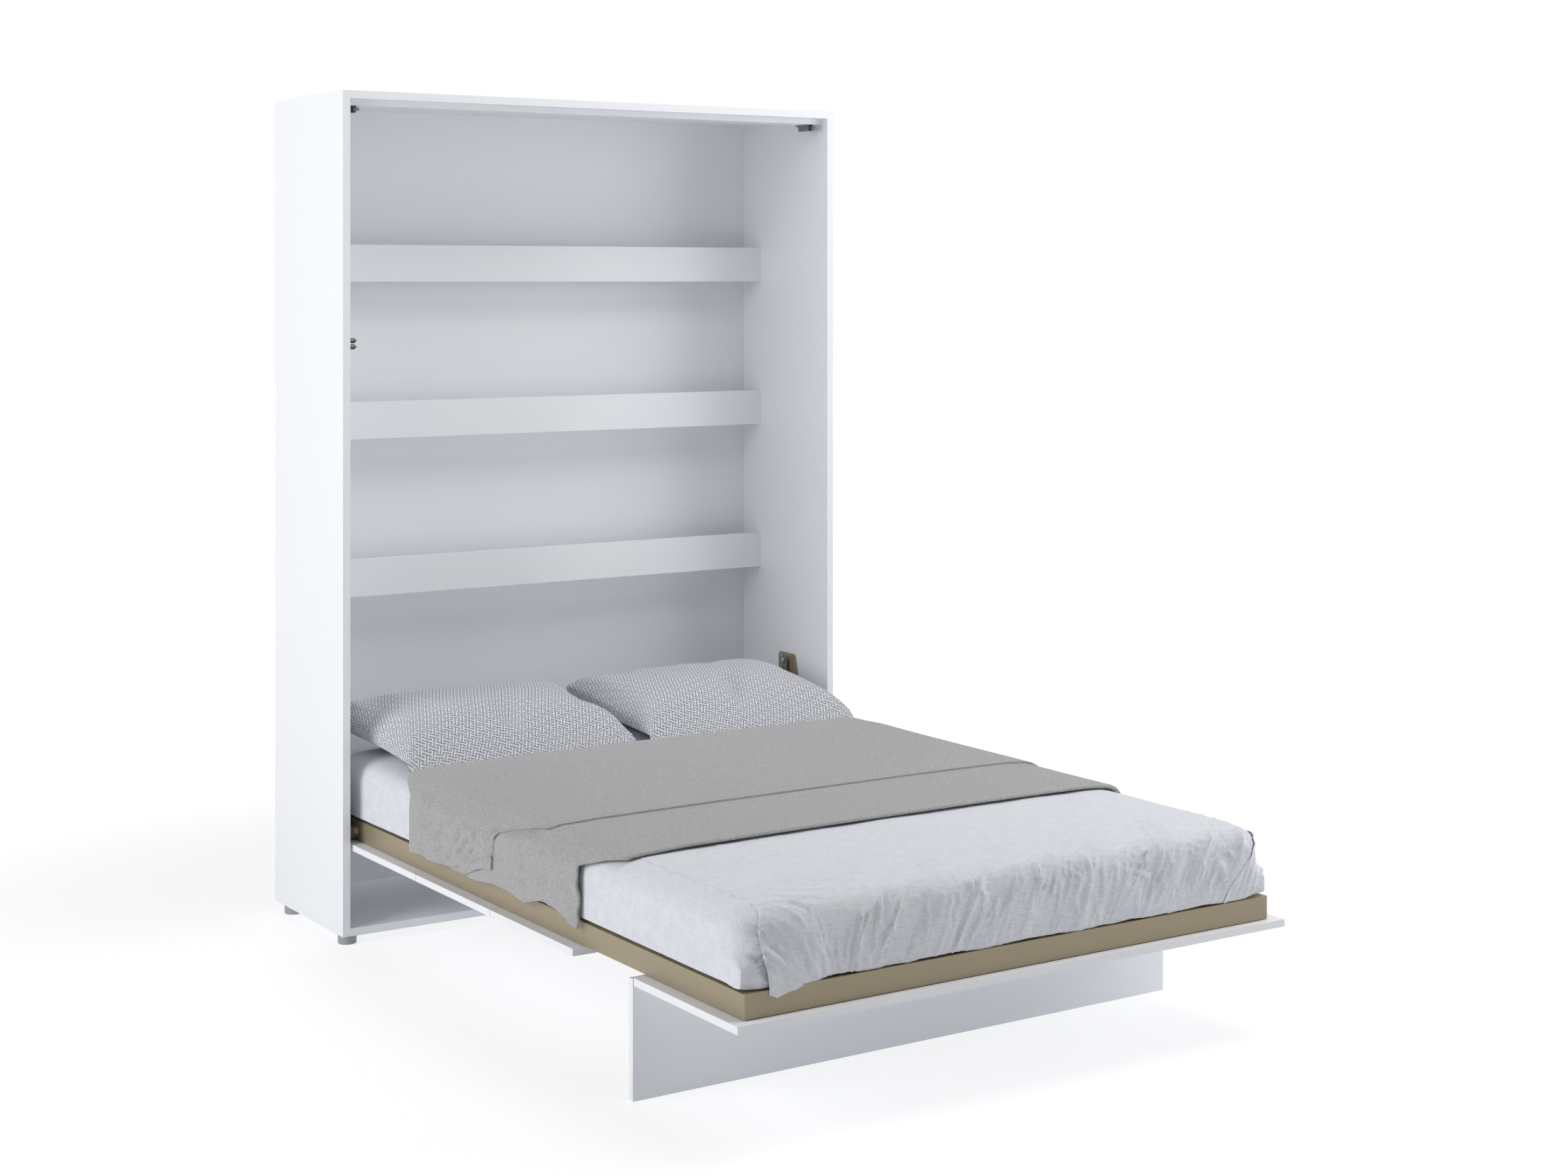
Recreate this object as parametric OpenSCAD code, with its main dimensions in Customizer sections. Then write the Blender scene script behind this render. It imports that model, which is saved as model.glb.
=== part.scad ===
// Vertical wall bed for a double mattress. The front of a tall cabinet folds down with the
// steel bed frame behind it, and a full-width leg swings out under the foot end.
// X runs across the bed, Y towards the wall and Z up from the floor. The pieces are worked
// out from the front face of the cabinet, and placed() then puts the origin under the middle.

/* [Mattress and bedding] */
// Width of the mattress
mattress_w = 1400; // [1200:10:1600]
// Length of the mattress
mattress_l = 2000; // [1900:10:2100]
// Thickness of the mattress
mattress_h = 162; // [140:2:168]
// How far the mattress reaches into the open cabinet
head_depth = 203; // [196:1:210]
// Room beside the pillows at each side of the mattress
pillow_margin = 16; // [12:1:60]
// Length of a pillow, from its front seam to its back seam
pillow_l = 490; // [440:5:500]
// Thickness of a pillow at its crown
pillow_h = 134; // [110:2:136]
// Distance from the cabinet to the part of the blanket that hangs down
blanket_start = 312; // [310:1:340]
// Length of the folded blanket along the bed
blanket_l = 1000; // [900:1:1040]
// Length of the upper layer of the blanket
blanket_fold_l = 700; // [600:1:760]
// Thickness of the folded blanket under its upper layer
blanket_t = 10; // [6:0.5:10]
// Thickness of the upper layer of the blanket
blanket_upper_t = 5; // [3:0.5:5]

/* [Cabinet] */
// Depth of the cabinet, from its front to the wall
cabinet_d = 456; // [450:1:500]
// Thickness of the cabinet's boards
board_t = 20; // [18:1:22]
// Room between the bed frame and each side of the cabinet
side_room = 37; // [37:1:44]
// Height of the feet
foot_h = 24; // [18:1:30]
// Diameter of the feet
foot_d = 48; // [36:1:60]
// Distance from the cabinet's side to a foot's centre
foot_inset_x = 26; // [26:1:60]
// Distance from the cabinet's front to the front feet
foot_front_y = 34; // [30:1:80]
// Distance from the cabinet's back edge to the rear feet
foot_rear_y = 66; // [40:1:90]
// Thickness of the back panel
back_t = 4; // [3:0.5:6]
// How far the back panel lies in front of the wall
back_inset = 6; // [4:0.5:8]
// How far the back panel is let into the boards
back_rebate = 8; // [6:0.5:10]

/* [Back rails] */
// Height of a back rail
rail_h = 100; // [90:1:110]
// Thickness of a back rail
rail_t = 18; // [16:1:22]
// Distance from the front of the cabinet to the back rails
rail_y = 351; // [348:1:360]
// Height of the lowest back rail above the floor
rail_1_z = 427; // [420:1:440]
// Height of the second back rail
rail_2_z = 837; // [820:1:860]
// Height of the third back rail
rail_3_z = 1262; // [1240:1:1280]
// Height of the highest back rail
rail_4_z = 1687; // [1670:1:1700]
// Depth of the rail that lies flat under the top board
top_rail_d = 90; // [86:1:120]
// Thickness of that rail
top_rail_t = 16; // [14:1:18]
// How far that rail is set back from the front
top_rail_y = 28; // [24:1:32]
// Diameter of the caps over the wall screws
cap_d = 20; // [16:0.5:24]

/* [Bed frame] */
// Height of the frame's underside above the floor
frame_z = 258; // [256:1:266]
// Height of the frame's tubes
frame_h = 50; // [48:1:56]
// Width of the side tubes
side_tube_w = 32; // [30:1:40]
// Width of the tube at the foot
foot_tube_w = 40; // [34:1:46]
// Wall of the tubes
tube_wall = 2; // [1.5:0.25:3]
// Width of the beam under the middle of the slats
beam_w = 40; // [30:1:50]
// Height of that beam
beam_h = 40; // [36:1:40]
// Width of a slat
slat_w = 58; // [45:1:66]
// Thickness of a slat
slat_t = 8; // [6:0.5:9]
// How far the middle of a slat rises above its ends
slat_bow = 7; // [5:0.5:8]
// Outer width of the hoop that holds the mattress at the head
hoop_w = 216; // [160:2:240]
// Diameter of the hoop's bar
hoop_d = 10; // [8:0.5:11]
// Height of the hoop above the frame
hoop_h = 157; // [120:1:160]

/* [Front boards and leg] */
// Thickness of the front boards and the leg
front_t = 16; // [15:0.5:18]
// Gap between the front boards and the cabinet's sides
front_gap = 7; // [5:0.5:9]
// How far the front boards reach past the foot of the frame
front_lip = 22; // [15:1:30]
// Thickness of the washers between the frame and the boards
washer_t = 2; // [2:0.25:3]
// Length of the board at the foot end
foot_board_l = 399; // [380:1:420]
// Distance from seam to seam of the other boards
board_pitch = 397; // [380:1:410]
// Gap at a seam between two boards
seam = 2; // [1:0.25:3]
// Gap round the closed front and the folded leg
closed_gap = 3; // [2.5:0.25:5]

/* [Pivots and gas springs] */
// Height of the main pivot above the frame's underside
pivot_rise = 23; // [22:0.5:27]
// Diameter of the main pivot bolt
pivot_d = 12; // [10:0.5:14]
// Thickness of the plates on the cabinet's sides
plate_t = 4; // [3:0.5:5]
// Distance from the main pivot to a spring's lower pin
spring_lever = 159; // [154:1:162]
// Height of a spring's upper pin above the main pivot
spring_rise = 298; // [296:1:310]
// Diameter of a gas spring's cylinder
spring_d = 18; // [15:0.5:18]
// Diameter of a gas spring's rod
spring_rod_d = 8; // [6:0.5:9]
// Diameter of the pins of the gas springs
spring_pin_d = 8; // [6:0.5:9]
// Travel of a damper's plunger
damper_travel = 8; // [5:0.5:10]
// Diameter of a damper's plunger
damper_plunger_d = 9; // [7:0.5:9]
// Height of the upper stop pin above the floor
stop_pin_z = 1537; // [1500:1:1560]
// Diameter of the stop pins
stop_pin_d = 13; // [10:0.5:14]

/* [Hidden] */
$fn = 48;

white = [0.93, 0.94, 0.955];
champagne = [0.66, 0.61, 0.52];
steel = [0.62, 0.63, 0.65];
chrome = [0.80, 0.81, 0.83];
dark_grey = [0.27, 0.28, 0.30];
grey_plastic = [0.55, 0.56, 0.58];
black_plastic = [0.08, 0.08, 0.09];
birch = [0.80, 0.67, 0.48];
linen = [0.86, 0.87, 0.89];
wool = [0.66, 0.66, 0.66];
cotton_print = [0.80, 0.81, 0.84];

// Clearances
run_fit = 0.05;
slip_fit = 0.15;
soft_gap = 0.4;
end_gap = 0.5;

// Bed frame
frame_w = mattress_w - 6;
frame_x = frame_w / 2;
frame_in_x = frame_x - side_tube_w;
frame_top = frame_z + frame_h;
foot_margin = 10;
frame_reach = mattress_l - head_depth + foot_margin;
head_tube_w = 32;
head_rail_y = head_depth - 13;
head_rail_end = head_rail_y + head_tube_w;
corner_x = 32.5;
corner_y = 41;
foot_tube_in = -frame_reach + foot_tube_w;

// How far the mattress bulges past the frame's sides
mattress_bulge = 6;
mattress_z = frame_top + 2;

// Front boards and main pivot
front_z = frame_z - washer_t - front_t;
front_top = front_z + front_t;
pivot_z = frame_z + pivot_rise;
pivot_y = pivot_z - front_z;
front_reach = frame_reach + front_lip;

// Cabinet
inner_x = frame_x + side_room;
floor_top = foot_h + board_t;
roof_z = pivot_z + pivot_y + front_reach + closed_gap;
back_y = cabinet_d - back_inset - back_t;
front_x = inner_x - front_gap;
placed_y = (front_reach - cabinet_d) / 2;

// Lower end of the closed front, which swings just over the bottom board
sweep_gap = 5;
tail_l = sqrt(pow(pivot_z - floor_top - sweep_gap, 2) - pow(pivot_y, 2));
tail_y = pivot_y + tail_l;

// Leg: its axis lies in the middle of its thickness
leg_room = 4;
leg_lip = 5;
leg_axis_z = front_z + front_t / 2;
leg_axis_y = -front_reach + foot_board_l + leg_room + front_t / 2;
lower_end_y = leg_axis_y + leg_axis_z + closed_gap;
hinge_knuckle_d = 12;
hinge_pin_d = 6;
hinge_w = 50;
hinge_tab_w = 8;
hinge_notch_w = hinge_w + 3;
hinge_notch_z = leg_axis_z - hinge_knuckle_d / 2 - 1.5;
hinge_leaf_l = 46;
hinge_leaf_t = 2.5;
hinge_x = [-0.8, -0.27, 0.27, 0.8] * frame_in_x;
bar_z = frame_z + 6;
bar_h = 26;
bar_w = 30;

// Gas springs
spring_x = inner_x - 14;
spring_eye_w = 12;
spring_y = pivot_y + spring_lever;
spring_top_z = pivot_z + spring_rise;
side_rail_end = max(head_rail_end, spring_y + 22);
spring_closed_l = sqrt(pow(spring_lever, 2) + pow(spring_rise + spring_lever, 2));
spring_stroke = spring_closed_l - spring_rise;
spring_body_z = pivot_z + 30;
spring_rod_in = spring_stroke + 18;

// Plates and pivot arms
arm_t = 5;
arm_w = 29;
arm_x = frame_x + 2;
arm_tilt = 20;
arm_l = (mattress_z - pivot_z - 1.5 - arm_w / 2 * sin(arm_tilt)) / cos(arm_tilt);
pivot_head_d = 18;
pivot_nut_d = 18.4;
pivot_head_t = 5;
bush_wall = 2;
bush_flange_d = 26;
bush_flange_t = 1.5;
plate_screw_d = 4;
wood_screw_l = 17;
plate_screws_yz = [
    [spring_y + 36, spring_top_z + 6], [spring_y + 36, pivot_z + 150], [spring_y + 30, pivot_z - 34],
    [pivot_y + 76, pivot_z + 120], [pivot_y + 90, pivot_z - 34], [spring_y - 60, spring_top_z - 90]
];

// Dampers under the top rail
damper_x = frame_x + 9;
damper_w = 14;
damper_h = 18;
damper_tip_y = front_t + soft_gap;
damper_nose_y = 38;
damper_body_y = 44;
damper_body_l = 55;
damper_tail_t = 3.5;
damper_screw_y = damper_body_y + damper_body_l + 7;
damper_top_z = roof_z - top_rail_t;
damper_axis_z = damper_top_z - 10;
damper_plunger_in = 34;
plunger_l = damper_nose_y - damper_tip_y + damper_plunger_in;

// Fasteners
dowel_d = 8;
dowel_in_side = 12;
dowel_in_rail = 24;
rail_zs = [rail_1_z, rail_2_z, rail_3_z, rail_4_z];
wall_screw_x = inner_x - 98;
wall_screw_z = rail_2_z + 20;
wall_screw_d = 8;
cap_stem_d = 12;
bracket_t = 3;
bracket_w = 40;
bracket_h = 40;
bracket_screw_z = wall_screw_z + 57;
bracket_screw_xs = [wall_screw_x - 10, wall_screw_x + 10];
board_screw_d = 5;
board_washer_d = 24;
board_edge = 42;
holder_w = slat_w + 8;
holder_l = 40;
holder_wall = 2.5;
slat_count = 14;
slat_end_clear = 4;
slat_in_x = beam_w / 2 + slat_end_clear;
slat_out_x = frame_in_x - slat_end_clear;
slat_crown_z = mattress_z - 0.3;
slat_first_y = -frame_reach + foot_tube_w + 12;
slat_last_y = head_rail_y - 12 - holder_w;
slat_pitch = (slat_last_y - slat_first_y) / (slat_count - 1);

// The front boards from the head to the foot, as [head edge, foot edge]
board_spans = [
    [tail_y, lower_end_y + 2 * board_pitch],
    [lower_end_y + 2 * board_pitch - seam, lower_end_y + board_pitch],
    [lower_end_y + board_pitch - seam, lower_end_y],
    [leg_axis_y - front_t / 2 - leg_room, -front_reach]
];
// Where the boards are screwed to the frame: rows near both ends of each board
screw_rows = [for (b = board_spans)
    each [min(b[0], side_rail_end) - board_edge, max(b[1], -frame_reach + corner_y) + board_edge]];
screw_xs = [-frame_x + side_tube_w / 2, 0, frame_x - side_tube_w / 2];

// Sets a piece in the part's own frame
module placed() {
    translate([0, placed_y, 0]) children();
}

// Turns a piece drawn for the right side into the one for the left side
module on_side(side) {
    mirror([side < 0 ? 1 : 0, 0, 0]) children();
}

module both_sides() {
    for (side = [-1, 1]) on_side(side) children();
}

// A block from its low corner to its high corner
module block(low, high) {
    translate(low) cube(high - low);
}

// A cylinder along X, Y or Z from a starting point
module x_rod(start, l, d) {
    translate(start) rotate([0, 90, 0]) cylinder(h = l, d = d);
}

module y_rod(start, l, d) {
    translate(start) rotate([-90, 0, 0]) cylinder(h = l, d = d);
}

module z_rod(start, l, d) {
    translate(start) cylinder(h = l, d = d);
}

// A flat shape drawn as (Y, Z), given a thickness along X
module yz_plate(x, t) {
    translate([x, 0, 0]) rotate([90, 0, 90]) linear_extrude(t) children();
}

// A flat shape drawn as (X, Z), given a length along Y
module xz_bar(y, l) {
    translate([0, y + l, 0]) rotate([90, 0, 0]) linear_extrude(l) children();
}

// A rectangular tube along Y and one along X
module y_tube(low, high, wall) {
    difference() {
        block(low, high);
        block([low.x + wall, low.y - 1, low.z + wall], [high.x - wall, high.y + 1, high.z - wall]);
    }
}

module x_tube(low, high, wall) {
    difference() {
        block(low, high);
        block([low.x - 1, low.y + wall, low.z + wall], [high.x + 1, high.y - wall, high.z - wall]);
    }
}

// Outline points with each corner rounded by its own radius
function unit(v) = v / norm(v);
function corner(before, at, after, r, n) =
    let (u = unit(before - at), v = unit(after - at), half = acos(u * v) / 2)
    let (centre = at + unit(u + v) * r / sin(half), along = r / tan(half))
    let (p = at + u * along - centre, q = at + v * along - centre)
    let (a = atan2(p.y, p.x), turn = atan2(p.x * q.y - p.y * q.x, p * q))
    [for (i = [0:n]) centre + r * [cos(a + turn * i / n), sin(a + turn * i / n)]];
function rounded(pts, radii, n = 6) =
    let (last = len(pts) - 1)
    [for (i = [0:last])
        each corner(pts[i == 0 ? last : i - 1], pts[i], pts[i == last ? 0 : i + 1], radii[i], n)];

// Cabinet boards

function rail_dowel_zs(z) = [z + rail_h * 0.25, z + rail_h * 0.75];
corner_dowel_ys = [60, cabinet_d / 2, cabinet_d - 60];

module side_panel(side) {
    color(white) placed() on_side(side) difference() {
        block([inner_x, 0, floor_top], [inner_x + board_t, cabinet_d, roof_z]);
        block([inner_x - 1, back_y, floor_top - 1], [inner_x + back_rebate, cabinet_d + 1, roof_z + 1]);
        for (z = rail_zs, dz = rail_dowel_zs(z))
            x_rod([inner_x - 1, rail_y + rail_t / 2, dz], dowel_in_side + 1 + end_gap, dowel_d + 2 * slip_fit);
        x_rod([inner_x - 1, top_rail_y + top_rail_d / 2, roof_z - top_rail_t / 2],
            dowel_in_side + 1 + end_gap, dowel_d + 2 * slip_fit);
        for (y = corner_dowel_ys, end = [[floor_top - 1, 0], [roof_z - dowel_in_rail - end_gap, 0]])
            z_rod([inner_x + board_t * 0.6, y, end[0]], dowel_in_rail + 1 + end_gap, dowel_d + 2 * slip_fit);
        for (p = plate_screws_yz)
            x_rod([inner_x - 1, p[0], p[1]], 15, plate_screw_d + 2 * slip_fit);
        x_rod([inner_x - 1, spring_y, spring_top_z], 7, spring_pin_d + 2 * slip_fit);
        if (side < 0)
            for (z = stop_pin_zs)
                x_rod([inner_x - 1, stop_pin_y, z], 11, stop_spigot_d + 2 * slip_fit);
    }
}

module flat_board(z) {
    difference() {
        block([-inner_x - board_t, 0, z], [inner_x + board_t, cabinet_d, z + board_t]);
        children();
    }
}

module corner_dowel_holes(z) {
    for (side = [-1, 1], y = corner_dowel_ys)
        z_rod([side * (inner_x + board_t * 0.6), y, z], dowel_in_side + 1 + end_gap, dowel_d + 2 * slip_fit);
}

module top_panel() {
    color(white) placed() flat_board(roof_z) {
        block([-inner_x - back_rebate, back_y, roof_z - 1],
            [inner_x + back_rebate, cabinet_d + 1, roof_z + back_rebate]);
        corner_dowel_holes(roof_z - 1);
    }
}

module bottom_panel() {
    color(white) placed() flat_board(foot_h) {
        block([-inner_x - back_rebate, back_y, floor_top - back_rebate],
            [inner_x + back_rebate, cabinet_d + 1, floor_top + 1]);
        corner_dowel_holes(floor_top - dowel_in_side - end_gap);
        for (x = foot_xs, y = foot_ys)
            z_rod([x, y, foot_h - 1], foot_stud_l + 2, foot_stud_d + 2 * slip_fit);
    }
}

module back_panel() {
    edge = back_rebate - end_gap;
    color(white) placed() difference() {
        block([-inner_x - edge, back_y, floor_top - edge], [inner_x + edge, back_y + back_t, roof_z + edge]);
        for (x = [-wall_screw_x, wall_screw_x])
            y_rod([x, back_y - 1, wall_screw_z], back_t + 2, wall_screw_d);
    }
}

module top_rail() {
    color(white) placed() difference() {
        block([-inner_x, top_rail_y, roof_z - top_rail_t], [inner_x, top_rail_y + top_rail_d, roof_z]);
        both_sides() {
            x_rod([inner_x - dowel_in_rail - end_gap, top_rail_y + top_rail_d / 2, roof_z - top_rail_t / 2],
                dowel_in_rail + end_gap + 1, dowel_d + 2 * slip_fit);
            z_rod([damper_x, damper_screw_y, damper_top_z - 1], wood_screw_l - damper_tail_t + 1 + end_gap,
                plate_screw_d + 2 * slip_fit);
        }
    }
}

module back_rail(n) {
    z = rail_zs[n - 1];
    color(white) placed() difference() {
        block([-inner_x, rail_y, z], [inner_x, rail_y + rail_t, z + rail_h]);
        both_sides() {
            for (dz = rail_dowel_zs(z))
                x_rod([inner_x - dowel_in_rail - end_gap, rail_y + rail_t / 2, dz],
                    dowel_in_rail + end_gap + 1, dowel_d + 2 * slip_fit);
            if (n == 2) {
                y_rod([wall_screw_x, rail_y - 1, wall_screw_z], rail_t + 2, cap_stem_d + 2 * slip_fit);
                for (x = bracket_screw_xs)
                    y_rod([x, rail_y + rail_t + bracket_t - wood_screw_l - end_gap, bracket_screw_z],
                        wood_screw_l, plate_screw_d + 2 * slip_fit);
            }
        }
    }
}

// Beech dowels that join the rails and the boards
module dowels() {
    color(birch) placed() {
        both_sides() {
            for (z = rail_zs, dz = rail_dowel_zs(z))
                x_rod([inner_x - dowel_in_rail, rail_y + rail_t / 2, dz], dowel_in_rail + dowel_in_side, dowel_d);
            x_rod([inner_x - dowel_in_rail, top_rail_y + top_rail_d / 2, roof_z - top_rail_t / 2],
                dowel_in_rail + dowel_in_side, dowel_d);
            for (y = corner_dowel_ys, z = [floor_top - dowel_in_side, roof_z - dowel_in_rail])
                z_rod([inner_x + board_t * 0.6, y, z], dowel_in_rail + dowel_in_side, dowel_d);
        }
    }
}

// Push-in caps over the holes through which the wall screws are driven
module rail_caps() {
    color(white) placed() both_sides() difference() {
        union() {
            y_rod([wall_screw_x, rail_y - 2.2, wall_screw_z], 2.2, cap_d);
            y_rod([wall_screw_x, rail_y - 1, wall_screw_z], 11, cap_stem_d);
        }
        y_rod([wall_screw_x, rail_y + 1, wall_screw_z], 12, cap_stem_d - 3);
        difference() {
            y_rod([wall_screw_x, rail_y - 3, wall_screw_z], 1.4, cap_d * 0.7);
            y_rod([wall_screw_x, rail_y - 4, wall_screw_z], 3, cap_d * 0.56);
        }
    }
}

// Bent steel strips from the second rail to the back panel, where the wall screw goes through
module wall_brackets() {
    w = bracket_w;
    t = bracket_t;
    rear_y = rail_y + rail_t;
    step_z = bracket_screw_z - bracket_h * 0.6;
    color(steel) placed() both_sides() difference() {
        union() {
            block([wall_screw_x - w / 2, rear_y, step_z], [wall_screw_x + w / 2, rear_y + t, step_z + bracket_h]);
            block([wall_screw_x - w / 2, rear_y, step_z], [wall_screw_x + w / 2, back_y, step_z + t]);
            block([wall_screw_x - w / 2, back_y - t, wall_screw_z - bracket_h * 0.45],
                [wall_screw_x + w / 2, back_y, step_z + t]);
        }
        y_rod([wall_screw_x, back_y - t - 1, wall_screw_z], t + 2, wall_screw_d);
        for (x = bracket_screw_xs)
            y_rod([x, rear_y - 1, bracket_screw_z], t + 2, plate_screw_d + 1);
    }
}

foot_xs = [-inner_x - board_t + foot_inset_x, inner_x + board_t - foot_inset_x];
foot_ys = [foot_front_y, cabinet_d - foot_rear_y];
foot_stud_l = 12;
foot_stud_d = 8;

// Turned plastic feet with a stud that goes up into the bottom board
module cabinet_feet() {
    r = foot_d / 2;
    color(grey_plastic) placed() for (x = foot_xs, y = foot_ys) translate([x, y, 0])
        rotate_extrude() polygon([
            [0, 0], [r - 2.5, 0], [r - 1, 0.6], [r, 2.5], [r, foot_h - 4], [r - 1.5, foot_h - 2.5],
            [r - 1.5, foot_h], [foot_stud_d / 2, foot_h], [foot_stud_d / 2, foot_h + foot_stud_l - 1],
            [foot_stud_d / 2 - 1, foot_h + foot_stud_l], [0, foot_h + foot_stud_l]
        ]);
}

// Damper housings, screwed under the top rail with their plungers towards the front
module damper_housings() {
    w = damper_w / 2;
    color(dark_grey) placed() both_sides() translate([damper_x, 0, 0]) difference() {
        union() {
            xz_bar(damper_body_y, damper_body_l) polygon(rounded([
                [-w, damper_top_z], [w, damper_top_z], [w, damper_top_z - damper_h],
                [-w, damper_top_z - damper_h]], [0.6, 0.6, 5, 5]));
            block([-w, damper_body_y + damper_body_l - 1, damper_top_z - damper_tail_t],
                [w, damper_screw_y + 7, damper_top_z]);
            y_rod([0, damper_nose_y, damper_axis_z], damper_body_y - damper_nose_y + 1, 12.5);
        }
        y_rod([0, damper_nose_y - 1, damper_axis_z], damper_plunger_in + damper_travel + 2,
            damper_plunger_d + 2 * run_fit);
        translate([0, damper_body_y + 12, damper_top_z - 7]) rotate([0, 90, 0])
            linear_extrude(20, center = true) polygon([[-7.5, -5], [-7.5, 5], [1.5, 0]]);
        z_rod([0, damper_screw_y, damper_top_z - damper_tail_t - 1], damper_tail_t + 2, plate_screw_d + 1);
    }
}

module damper_plunger(side) {
    color(grey_plastic) placed() on_side(side) translate([damper_x, 0, damper_axis_z]) rotate([-90, 0, 0])
        rotate_extrude() polygon([
            [0, damper_tip_y], [damper_plunger_d / 2 - 1.2, damper_tip_y],
            [damper_plunger_d / 2, damper_tip_y + 1.2], [damper_plunger_d / 2, damper_tip_y + plunger_l],
            [0, damper_tip_y + plunger_l]
        ]);
}

stop_spigot_d = 8;
stop_pin_l = side_room - mattress_bulge - 5;
stop_pin_y = front_t + soft_gap + stop_pin_d / 2;
stop_pin_zs = [stop_pin_z, stop_pin_z - stop_pin_d - 3];

// Two pins on the left side that the closed front rests against
module stop_pins() {
    r = stop_pin_d / 2;
    color(dark_grey) placed() for (z = stop_pin_zs)
        translate([-inner_x, stop_pin_y, z]) rotate([0, 90, 0]) rotate_extrude() polygon([
            [0, -9], [stop_spigot_d / 2, -9], [stop_spigot_d / 2, 0], [r, 0], [r, stop_pin_l - 6],
            [r - 0.6, stop_pin_l - 5], [r * 0.4, stop_pin_l - 1], [r * 0.25, stop_pin_l], [0, stop_pin_l]
        ]);
}

// Steel plates on the cabinet's sides. Each carries a gas spring at its top and, on a joggled
// arm in front, the main pivot.
module arm_shape(from, to, w) {
    translate([pivot_y, pivot_z]) rotate(-arm_tilt)
        translate([from, -w / 2]) square([to - from, w]);
}

module side_plate(side) {
    top = spring_top_z + 18;
    foot = pivot_z - 49;
    outline = [
        [spring_y + 49, top], [spring_y - 35, top], [spring_y - 52, top - 61], [pivot_y + 47, pivot_z + 49],
        [pivot_y + 5, pivot_z + 20], [pivot_y + 5, foot], [spring_y + 49, foot]
    ];
    color(champagne) placed() on_side(side) difference() {
        union() {
            yz_plate(inner_x - plate_t, plate_t) polygon(rounded(outline, [10, 10, 60, 40, 12, 14, 14]));
            yz_plate(arm_x + 1, inner_x - plate_t - arm_x)
                arm_shape(pivot_head_d / 2 + 1.5, arm_l - 0.6, arm_w - 1.2);
            yz_plate(arm_x, arm_t) {
                arm_shape(0, arm_l, arm_w);
                translate([pivot_y, pivot_z]) circle(d = arm_w + 1);
            }
            x_rod([spring_x + spring_eye_w / 2 + end_gap, spring_y, spring_top_z],
                inner_x - plate_t - spring_x - spring_eye_w / 2 - end_gap + 1, 14);
        }
        x_rod([arm_x - 1, pivot_y, pivot_z], arm_t + 2, pivot_d + 2 * run_fit);
        x_rod([spring_x, spring_y, spring_top_z], inner_x - spring_x + 1, spring_pin_d + 2 * run_fit);
        for (p = plate_screws_yz)
            x_rod([inner_x - plate_t - 1, p[0], p[1]], plate_t + 2, plate_screw_d + 1);
        x_rod([inner_x - plate_t - 1, spring_y - 29, spring_top_z + 4], plate_t + 2, 7);
    }
}

// Pan-head screws of the plates, the wall brackets and the dampers
module wood_screw() {
    head_d = 9;
    rotate_extrude() polygon([
        [0, -1.6], [head_d / 2 - 2, -2.2], [head_d / 2 - 0.5, -1.4], [head_d / 2, 0],
        [plate_screw_d / 2, 0], [plate_screw_d / 2, wood_screw_l - 2], [0, wood_screw_l]
    ]);
}

module wood_screws() {
    color(steel) placed() both_sides() {
        for (p = plate_screws_yz)
            translate([inner_x - plate_t, p[0], p[1]]) rotate([0, 90, 0]) wood_screw();
        for (x = bracket_screw_xs)
            translate([x, rail_y + rail_t + bracket_t, bracket_screw_z]) rotate([90, 0, 0]) wood_screw();
        translate([damper_x, damper_screw_y, damper_top_z - damper_tail_t]) wood_screw();
    }
}

// Pins at the top of the gas springs, with a turned head on the inner side
module spring_pins_upper() {
    inner = spring_x - spring_eye_w / 2 - end_gap;
    color(chrome) placed() both_sides() difference() {
        union() {
            x_rod([inner, spring_y, spring_top_z], inner_x + 5 - inner, spring_pin_d);
            x_rod([inner - 3.5, spring_y, spring_top_z], 3.5, 13);
        }
        translate([inner - 4, spring_y, spring_top_z]) rotate([0, 90, 0]) cylinder(h = 2.8, d = 6, $fn = 6);
    }
}

// Main pivot bolts: a socket head outside the arm and a plain shank through the frame
module pivot_bolts() {
    shank = arm_x + arm_t - frame_in_x + 14;
    color(chrome) placed() both_sides() difference() {
        union() {
            x_rod([arm_x + arm_t - shank, pivot_y, pivot_z], shank, pivot_d);
            translate([arm_x + arm_t, pivot_y, pivot_z]) rotate([0, 90, 0]) rotate_extrude() polygon([
                [0, 0], [pivot_head_d / 2, 0], [pivot_head_d / 2, pivot_head_t - 1.6],
                [pivot_head_d / 2 - 2.4, pivot_head_t], [0, pivot_head_t]
            ]);
        }
        translate([arm_x + arm_t + 1.2, pivot_y, pivot_z]) rotate([0, 90, 0])
            cylinder(h = pivot_head_t, d = 9, $fn = 6);
    }
}

module pivot_nuts() {
    color(steel) placed() both_sides() difference() {
        union() {
            translate([frame_in_x - 12, pivot_y, pivot_z]) rotate([0, 90, 0])
                cylinder(h = 10, d = pivot_nut_d, $fn = 6);
            x_rod([frame_in_x - 2.5, pivot_y, pivot_z], 2, pivot_nut_d + 0.6);
        }
        x_rod([frame_in_x - 13, pivot_y, pivot_z], 16, pivot_d + 2 * run_fit);
    }
}

// Flanged bushes in the side tubes, on which the bed turns
module pivot_bushes() {
    bush_d = pivot_d + 2 * bush_wall;
    color(black_plastic) placed() both_sides() difference() {
        union() {
            x_rod([frame_in_x, pivot_y, pivot_z], side_tube_w, bush_d);
            x_rod([frame_x, pivot_y, pivot_z], bush_flange_t, bush_flange_d);
        }
        x_rod([frame_in_x - 1, pivot_y, pivot_z], side_tube_w + bush_flange_t + 2, pivot_d + 2 * run_fit);
    }
}

// Bed frame

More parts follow.
